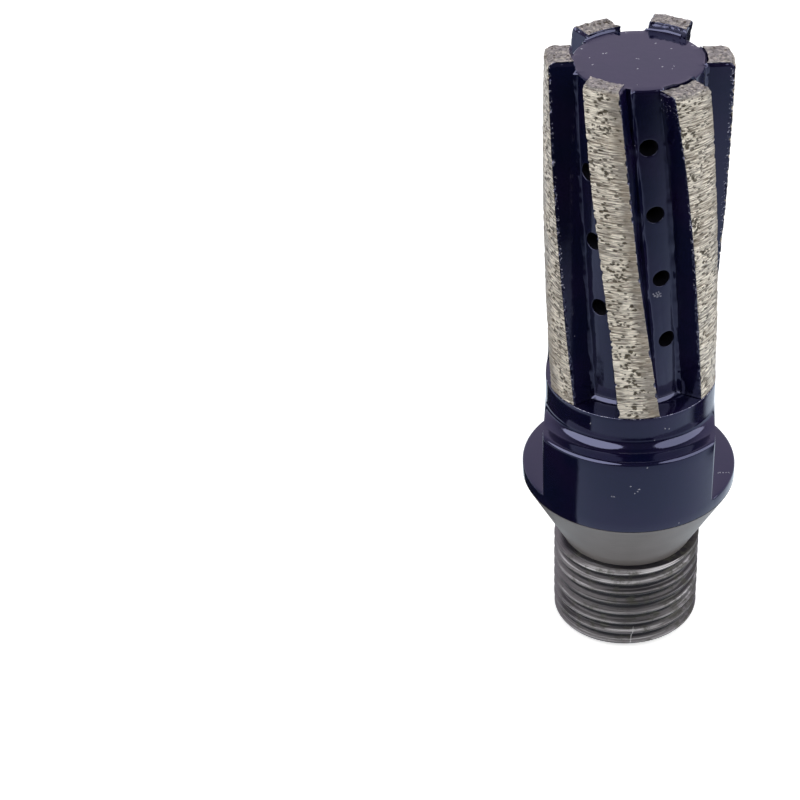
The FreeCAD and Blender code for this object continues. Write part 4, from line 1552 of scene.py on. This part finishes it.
@dataclass
class DiamondSegment:
    """One diamond segment: painted sides and inside, ground outside, rough top."""

    number: int
    sizes: BitSizes
    twist: Twist
    fit: SegmentFit
    width: float = SEGMENT_WIDTH
    side_edge: float = 0.16
    tip_radius: float = 1.0
    across_step: float = 0.13
    along_step: float = 0.16
    inward_step: float = 0.20

    def build(self, matrix: bpy.types.Material, paint: bpy.types.Material) -> bpy.types.Object:
        """Build the segment as one closed skin.

        Args:
            matrix: Finish of the ground face and the top.
            paint: Finish of the sides, the inside and the foot.

        Returns:
            The segment.
        """
        sizes = self.sizes
        shell = Shell(f"diamond_segment_{self.number + 1}_dressed")
        half = self.width / 2
        length = sizes.tip - sizes.seat
        depth = sizes.cutting_radius - sizes.core_radius
        edge = np.array([0.0, 0.3, 0.7, 1.0]) * self.side_edge
        across = self.spread(-half, half, edge, self.across_step)
        along = self.spread(0.0, length, edge, self.along_step)
        inward = self.spread(0.0, depth, edge, self.inward_step)
        faces = (
            ("outer", along, across, lambda a, b: (b, np.full_like(a, depth), a), 0),
            ("inner", along, across, lambda a, b: (b, np.zeros_like(a), a), 1),
            ("left", along, inward, lambda a, b: (np.full_like(a, -half), b, a), 1),
            ("right", along, inward, lambda a, b: (np.full_like(a, half), b, a), 1),
            ("top", inward, across, lambda a, b: (b, a, np.full_like(a, length)), 0),
            ("foot", inward, across, lambda a, b: (b, a, np.zeros_like(a)), 1))
        pits = self.scatter_pits(length)
        for name, first, second, place, finish in faces:
            grid_second, grid_first = np.meshgrid(second, first)
            side, inset, height = place(grid_first, grid_second)
            points, marks = self.shape(side, inset, height, pits)
            flat = np.stack([side, height], axis=-1)
            numbers = shell.add_points(points, flat=flat, **marks)
            shell.join_rows(numbers, finish=finish)
        piece = shell.build([matrix, paint], crease=55.0)
        settle(piece, Slot.MATRIX, SEGMENT_NODE.format(self.number + 1))
        return piece

    @staticmethod
    def spread(low: float, high: float, edge: np.ndarray, step: float) -> np.ndarray:
        """Places from low to high, close together at both ends.

        Args:
            low: First place.
            high: Last place.
            edge: Distances of the close places from each end, from 0 up.
            step: About how far apart the places between lie.

        Returns:
            The places in rising order.
        """
        count = max(2, int(round((high - low - 2 * edge[-1]) / step)))
        middle = np.linspace(low + edge[-1], high - edge[-1], count + 1)
        return np.concatenate([low + edge[:-1], middle, high - edge[-2::-1]])

    def scatter_pits(self, length: float) -> np.ndarray:
        """Places and sizes of the open grit on the ground face, in clusters.

        Args:
            length: Length of the segment in millimetres.

        Returns:
            For each pit its place across, its place along, its radius and its depth.
        """
        draw = np.random.default_rng(self.fit.seed)
        clusters = Grain(self.fit.seed + 100)
        wanted = []
        while len(wanted) < self.fit.pits:
            across = draw.uniform(-self.width / 2, self.width / 2)
            along = draw.uniform(0.3, length)
            dense = clusters.at(np.array([[across, along, 0.0]]), (1.6, 2.6, 1.0))[0]
            aside = (across / self.width + 0.5 - self.fit.pit_middle) / self.fit.pit_spread
            if draw.uniform(-0.30, 0.75) > dense or draw.uniform(0.0, 1.0) > math.exp(-aside * aside):
                continue
            radius = 0.13 + 0.22 * draw.uniform() ** 1.4
            wanted.append((across, along, radius, draw.uniform(0.08, 0.22)))
        return np.array(wanted)

    def shape(self, side: np.ndarray, inset: np.ndarray, height: np.ndarray,
              pits: np.ndarray) -> tuple[np.ndarray, dict[str, np.ndarray]]:
        """Turn places on the straight bar into points on the twisted, worn segment.

        Args:
            side: Distance from the segment's middle line.
            inset: Distance out from the core.
            height: Distance up from the seat.
            pits: Open grit, as scatter_pits gives it.

        Returns:
            Points in millimetres, and the marks on them.
        """
        sizes = self.sizes
        half = self.width / 2
        length = sizes.tip - sizes.seat
        depth = sizes.cutting_radius - sizes.core_radius
        place = np.stack([side, inset, height], axis=-1)
        low = np.array([-half, 0.0, 0.0]) + self.side_edge
        high = np.array([half, depth, length]) - self.side_edge
        held = np.clip(place, low, high)
        out = place - held
        largest = np.abs(out).max(axis=-1)
        distance = np.linalg.norm(out, axis=-1)
        shrink = np.where(distance > 1e-9, largest / np.maximum(distance, 1e-9), 1.0)
        place = held + out * shrink[..., None]
        corner = np.array([depth - self.tip_radius, length - self.tip_radius])
        over = place[..., 1:] - corner
        inside = (over > 0.0).all(axis=-1)
        largest = over.max(axis=-1)
        distance = np.linalg.norm(over, axis=-1)
        shrink = np.where(inside, largest / np.maximum(distance, 1e-9), 1.0)
        place[..., 1:] = np.where(inside[..., None], corner + over * shrink[..., None], place[..., 1:])
        outward = self.outward(place, half, depth, length)
        grain = Grain(self.fit.seed)
        ground = smooth_step(place[..., 1], depth - 0.35, depth - 0.1)
        top = smooth_step(place[..., 2], length - 0.75, length - 0.25)
        streak = grain.at(place, (2.4, 1.0, 0.30)) * 0.030 + grain.at(place + 31.0, (0.9, 1.0, 0.45)) * 0.022
        rough = grain.at(place + 5.0, (0.40, 0.40, 0.40)) * 0.13 + grain.at(place, (1.1, 1.1, 1.1)) * 0.10
        on_edge = 1.0 - smooth_step(half - np.abs(place[..., 0]), 0.0, 0.35)
        bite = smooth_step(grain.at(place + 11.0, (0.5, 0.5, 0.42)), 0.20, 0.55) * on_edge * ground
        chips = 0.28 * bite
        wave = grain.at(place + 61.0, (4.0, 4.0, 6.0)) * 0.035
        pit, tail, dent = self.pit_marks(place, pits)
        pit = np.maximum(pit, 0.9 * bite)
        move = ground * (streak - dent + 0.035 * tail) + top * (rough - 0.19) - chips + wave * ground - 0.05
        move = move * (1.0 - smooth_step(0.4 - place[..., 2], 0.0, 0.3))
        place = self.seat_by_hand(place + outward * move[..., None], depth, length)
        azimuth = self.twist.segment_azimuth(self.number, sizes.seat + place[..., 2])
        reach = np.sqrt(np.clip((sizes.core_radius + place[..., 1]) ** 2 - place[..., 0] ** 2, 1.0, None))
        points = unit_across(azimuth) * reach[..., None] + unit_along(azimuth) * place[..., 0, None]
        points[..., 2] = sizes.seat + place[..., 2]
        share = place[..., 0] / self.width + 0.5
        calm_from, calm_to = self.fit.calm_from, self.fit.calm_to
        if calm_from > 0.0:
            calm = smooth_step(share, calm_from, calm_to)
        else:
            calm = smooth_step(-share, calm_from, -calm_to)
        outer_rim = smooth_step(place[..., 1], depth - 0.35, depth - 0.1)
        near_top = smooth_step(place[..., 2], length - 7.0, length - 2.0)
        left_side = smooth_step(-place[..., 0], half - 0.4, half - 0.1) * self.fit.left_wear
        right_side = smooth_step(place[..., 0], half - 0.4, half - 0.1) * self.fit.right_wear
        worn = np.clip(0.6 * outer_rim + 0.8 * (left_side + right_side) * near_top, 0.0, 1.0)
        return points, {"pit": pit * ground, "tail": tail * ground, "top": top, "calm": calm, "wear": worn}

    def seat_by_hand(self, place: np.ndarray, depth: float, length: float) -> np.ndarray:
        """Shift the bar's edges, outer face and top as the segment's fit says.

        Args:
            place: Places on the bar.
            depth: Depth of the bar out from the core.
            length: Length of the bar.

        Returns:
            The shifted places.
        """
        fit = self.fit
        side, inset, height = (place[..., axis] for axis in range(3))
        share = np.clip(height / length, 0.0, 1.0)
        knots = np.linspace(0.0, 1.0, len(fit.left_edge))
        rightwards = np.clip(side / self.width + 0.5, 0.0, 1.0)
        left = np.interp(share, knots, fit.left_edge)
        right = np.interp(share, knots, fit.right_edge)
        stand = np.interp(share, knots, fit.stand_off)
        outwards = np.clip(inset / depth, 0.0, 1.0)
        near_top = smooth_step(share, 0.70, 1.0)
        drop = fit.outer_drop * outwards + fit.inner_drop * (1.0 - outwards)
        lean = fit.inner_lean * near_top * (1.0 - outwards)
        return np.stack([
            side + left * (1.0 - rightwards) + right * rightwards + lean,
            inset + stand * outwards,
            height - drop * smooth_step(share, 0.85, 1.0)], axis=-1)

    def outward(self, place: np.ndarray, half: float, depth: float, length: float) -> np.ndarray:
        """Directions out of the bar, turning gently over its edges.

        Args:
            place: Places on the bar.
            half: Half the bar's width.
            depth: Depth of the bar out from the core.
            length: Length of the bar.

        Returns:
            One direction of unit length for each place.
        """
        margin = 0.9
        low = np.array([-half, 0.0, 0.0]) + margin
        high = np.array([half, depth, length]) - margin
        out = place - np.clip(place, low, high)
        reach = np.maximum(np.linalg.norm(out, axis=-1), 1e-9)
        return out / reach[..., None]

    def pit_marks(self, place: np.ndarray, pits: np.ndarray) -> tuple[np.ndarray, np.ndarray, np.ndarray]:
        """Darkness, bright tails and depth of the open grit.

        Args:
            place: Places on the bar.
            pits: Open grit, as scatter_pits gives it.

        Returns:
            The pits' darkness and their tails from 0 to 1, and their depth in millimetres.
        """
        shape = place.shape[:-1]
        flat = place.reshape(-1, 3)
        pit = np.zeros(len(flat))
        tail = np.zeros(len(flat))
        dent = np.zeros(len(flat))
        for across, along, radius, depth in pits:
            near = np.abs(flat[:, 2] - along) < 1.2
            spot = flat[near]
            aside = (spot[:, 0] - across) / (radius * 1.25)
            above = (spot[:, 2] - along) / (radius * 0.85)
            round_off = np.exp(-(aside**2 + above**2) * 1.3)
            pit[near] = np.maximum(pit[near], round_off)
            dent[near] = np.maximum(dent[near], round_off * depth)
            reach = (across - radius * 0.8 - spot[:, 0]) / (radius * 7.5)
            behind = smooth_step(reach, 0.0, 0.08) * (1.0 - smooth_step(reach, 0.5, 1.0))
            beside = (spot[:, 2] - along - radius * 0.3) / (radius * 0.75)
            tail[near] = np.maximum(tail[near], behind * np.exp(-beside**2))
        return pit.reshape(shape), tail.reshape(shape), dent.reshape(shape)


@dataclass(frozen=True)
class Softbox:
    """Soft rectangular lamp that faces the bit."""

    name: str
    azimuth: float
    elevation: float
    distance: float
    width: float
    height: float
    brightness: float
    aim: tuple[float, float, float] = (0.0, 0.0, 0.045)

    def place(self) -> bpy.types.Object:
        """Hang the lamp.

        Returns:
            The lamp.
        """
        light = bpy.data.lights.new(self.name, "AREA")
        light.shape = "RECTANGLE"
        light.size = self.width
        light.size_y = self.height
        light.energy = self.brightness * math.pi * self.width * self.height
        lamp = bpy.data.objects.new(self.name, light)
        across, up = math.radians(self.azimuth), math.radians(self.elevation)
        away = Vector((
            math.sin(across) * math.cos(up), -math.cos(across) * math.cos(up), math.sin(up)))
        lamp.location = Vector(self.aim) + away * self.distance
        lamp.rotation_euler = away.to_track_quat("Z", "Y").to_euler()
        lamp.visible_glossy = False
        bpy.context.scene.collection.objects.link(lamp)
        return lamp


@dataclass(frozen=True)
class Glare:
    """Soft oval of light that shows in gloss only, by its middle and half its span in degrees."""

    azimuth: float
    elevation: float
    half_across: float
    half_up: float
    strength: float


@dataclass(frozen=True)
class Flag:
    """Dark patch that gloss shows on the floor, by its span round the bit and out from it in mm."""

    azimuths: tuple[float, float]
    reach: tuple[float, float]
    blur: float


@dataclass
class Studio:
    """White sweep, soft lamps, the room that gloss shows, and the camera."""

    floor_half: float = 1.6
    floor_tone: float = 0.80
    camera_distance: float = 0.256754
    camera_height: float = 0.217433
    yaw: float = -0.125
    pitch: float = 0.613
    roll: float = -0.046
    lens: float = 100.79
    sensor: float = 36.0
    board_gloss: float = 0.97
    camera_lift: float = 0.62
    flag_tone: float = 0.02
    flags: tuple[Flag, ...] = (
        Flag((-138.0, -47.5), (20.0, 75.0), 1.6),
        Flag((-136.0, -78.0), (105.0, 260.0), 4.0),
        Flag((122.0, 168.0), (120.0, 260.0), 4.0),
        Flag((84.0, 113.0), (58.0, 110.0), 8.0))
    softboxes: tuple[Softbox, ...] = (
        Softbox("softbox_left", -80.0, 32.0, 0.6, 0.85, 0.70, 1.10),
        Softbox("softbox_right", 78.0, 30.0, 0.6, 0.85, 0.70, 1.75))
    glares: tuple[Glare, ...] = (
        Glare(-49.0, 32.0, 42.0, 35.0, 4.6),
        Glare(68.0, 28.0, 36.0, 34.0, 3.3))

    def build(self) -> None:
        """Set up the whole studio."""
        self.lay_floor()
        for softbox in self.softboxes:
            softbox.place()
        self.light_world()
        self.place_camera()
        bpy.context.scene.view_settings.view_transform = "Standard"

    def lay_floor(self) -> None:
        """Lay the pale floor, which shows white to the camera."""
        half = self.floor_half
        mesh = bpy.data.meshes.new("studio_floor")
        corners = [(-half, -half, 0.0), (half, -half, 0.0), (half, half, 0.0), (-half, half, 0.0)]
        mesh.from_pydata(corners, [], [(0, 1, 2, 3)])
        mesh.materials.append(self.floor_material())
        floor = bpy.data.objects.new("studio_floor", mesh)
        bpy.context.scene.collection.objects.link(floor)

    def floor_material(self) -> bpy.types.Material:
        """Matt pale board, lifted to white for the camera, with dark flags that only gloss shows.

        Returns:
            The material.
        """
        graph = NodeGraph("pale_board")
        tone = (self.floor_tone, self.floor_tone, self.floor_tone, 1.0)
        board = graph.add("ShaderNodeBsdfDiffuse", {"Color": tone})
        path = graph.add("ShaderNodeLightPath")
        lift = graph.math("MULTIPLY", path.outputs["Is Camera Ray"], self.camera_lift)
        glow = graph.add("ShaderNodeEmission", {"Color": (1.0, 1.0, 1.0, 1.0), "Strength": lift})
        seen = graph.add("ShaderNodeAddShader", {0: board.outputs[0], 1: glow.outputs[0]})
        where = graph.place()
        split = graph.add("ShaderNodeSeparateXYZ", {0: where})
        radius = graph.add("ShaderNodeVectorMath", {0: where}, operation="LENGTH").outputs["Value"]
        front = graph.math("MULTIPLY", split.outputs["Y"], -1.0)
        azimuth = graph.math("ARCTAN2", split.outputs["X"], front)
        # Painted reflection: the floor that gloss shows darkens towards the front, and holds a painted
        # shadow near the bit.
        strength = graph.remap(split.outputs["Y"], -175.0, 30.0, 0.03, 1.25, soft=False)
        strength = graph.math("MULTIPLY", strength, graph.remap(radius, 6.0, 30.0, 0.60, 1.0))
        for flag in self.flags:
            low, high = (math.radians(limit) for limit in flag.azimuths)
            patch = graph.math("MULTIPLY", graph.between(azimuth, low, high, math.radians(flag.blur)),
                               graph.between(radius, *flag.reach, 4.0))
            shade = graph.remap(patch, 0.0, 1.0, 1.0, self.flag_tone, soft=False)
            strength = graph.math("MULTIPLY", strength, shade)
        strength = graph.math("MULTIPLY", strength, self.board_gloss)
        mirror = graph.add("ShaderNodeEmission", {"Color": (0.80, 0.90, 1.0, 1.0), "Strength": strength})
        both = graph.add("ShaderNodeMixShader", {
            0: path.outputs["Is Glossy Ray"], 1: seen.outputs[0], 2: mirror.outputs[0]})
        graph.tree.links.new(both.outputs[0], graph.output.inputs["Surface"])
        return graph.material

    def light_world(self) -> None:
        """Light of the room: pale behind the bit, dark in front and overhead, with glares in gloss."""
        world = bpy.data.worlds.new("studio_room")
        bpy.context.scene.world = world
        graph = NodeGraph(world.name, world)
        direction = graph.add("ShaderNodeTexCoord").outputs["Generated"]
        split = graph.add("ShaderNodeSeparateXYZ", {0: direction})
        side, back, up = (split.outputs[axis] for axis in "XYZ")
        azimuth = graph.math("ARCTAN2", side, graph.math("MULTIPLY", back, -1.0))
        elevation = graph.math("ARCSINE", up, 0.0)
        plain = graph.remap(back, -0.5, 0.55, 0.20, 0.72)
        room = graph.remap(back, -0.35, 0.55, 0.12, 0.88)
        room = graph.math("MULTIPLY", room, graph.remap(up, 0.70, 0.95, 1.0, 0.30))
        windows = None
        for glare in self.glares:
            across = graph.math("SUBTRACT", azimuth, math.radians(glare.azimuth))
            across = graph.math("DIVIDE", across, math.radians(glare.half_across))
            above = graph.math("SUBTRACT", elevation, math.radians(glare.elevation))
            above = graph.math("DIVIDE", above, math.radians(glare.half_up))
            across_square = graph.math("MULTIPLY", across, across)
            away = graph.math("ADD", across_square, graph.math("MULTIPLY", above, above))
            shown = graph.remap(away, 0.93, 1.05, glare.strength, 0.0)
            windows = shown if windows is None else graph.math("ADD", windows, shown)
        even = graph.add("ShaderNodeBackground", {"Color": (1.0, 0.99, 1.0, 1.0), "Strength": plain})
        walls = graph.add("ShaderNodeBackground", {"Color": (0.98, 0.86, 1.06, 1.0), "Strength": room})
        panes = graph.add("ShaderNodeBackground", {"Color": (1.0, 1.0, 1.0, 1.0), "Strength": windows})
        mirror = graph.add("ShaderNodeAddShader", {0: walls.outputs[0], 1: panes.outputs[0]})
        path = graph.add("ShaderNodeLightPath")
        both = graph.add("ShaderNodeMixShader", {
            0: path.outputs["Is Glossy Ray"], 1: even.outputs[0], 2: mirror.outputs[0]})
        graph.tree.links.new(both.outputs[0], graph.output.inputs["Surface"])

    def place_camera(self) -> bpy.types.Object:
        """Set the camera at the photograph's viewing angle.

        Returns:
            The camera.
        """
        data = bpy.data.cameras.new("camera")
        data.sensor_width = self.sensor
        data.lens = self.lens
        data.clip_start = 0.01
        camera = bpy.data.objects.new("camera", data)
        forward = Vector((
            math.sin(self.yaw) * math.cos(self.pitch), math.cos(self.yaw) * math.cos(self.pitch),
            -math.sin(self.pitch)))
        level = Vector((math.cos(self.yaw), -math.sin(self.yaw), 0.0))
        upright = level.cross(forward)
        right = math.cos(self.roll) * level + math.sin(self.roll) * upright
        up = math.cos(self.roll) * upright - math.sin(self.roll) * level
        turn = Matrix((right, up, -forward)).transposed()
        place = Matrix.Translation(Vector((0.0, -self.camera_distance, self.camera_height)))
        camera.matrix_world = place @ turn.to_4x4()
        bpy.context.scene.collection.objects.link(camera)
        bpy.context.scene.camera = camera
        return camera


def main() -> None:
    """Build the bit and its studio."""
    logging.basicConfig(level=logging.INFO, format="%(name)s: %(message)s")
    sizes = BitSizes.from_frame(frame)
    twist = Twist(foot_height=sizes.seat)
    paint = GlossPaint().material()
    Studio().build()
    ThreadedShank(sizes).build(ThreadSteel().material(), TurnedSteel().material())
    PaintedBody(sizes, twist).build(paint, BoreShadeSteel().material())
    matrix = GroundMatrix().material()
    for number, fit in enumerate(FITS):
        DiamondSegment(number, sizes, twist, fit).build(matrix, paint)


if __name__ == "__main__":
    main()
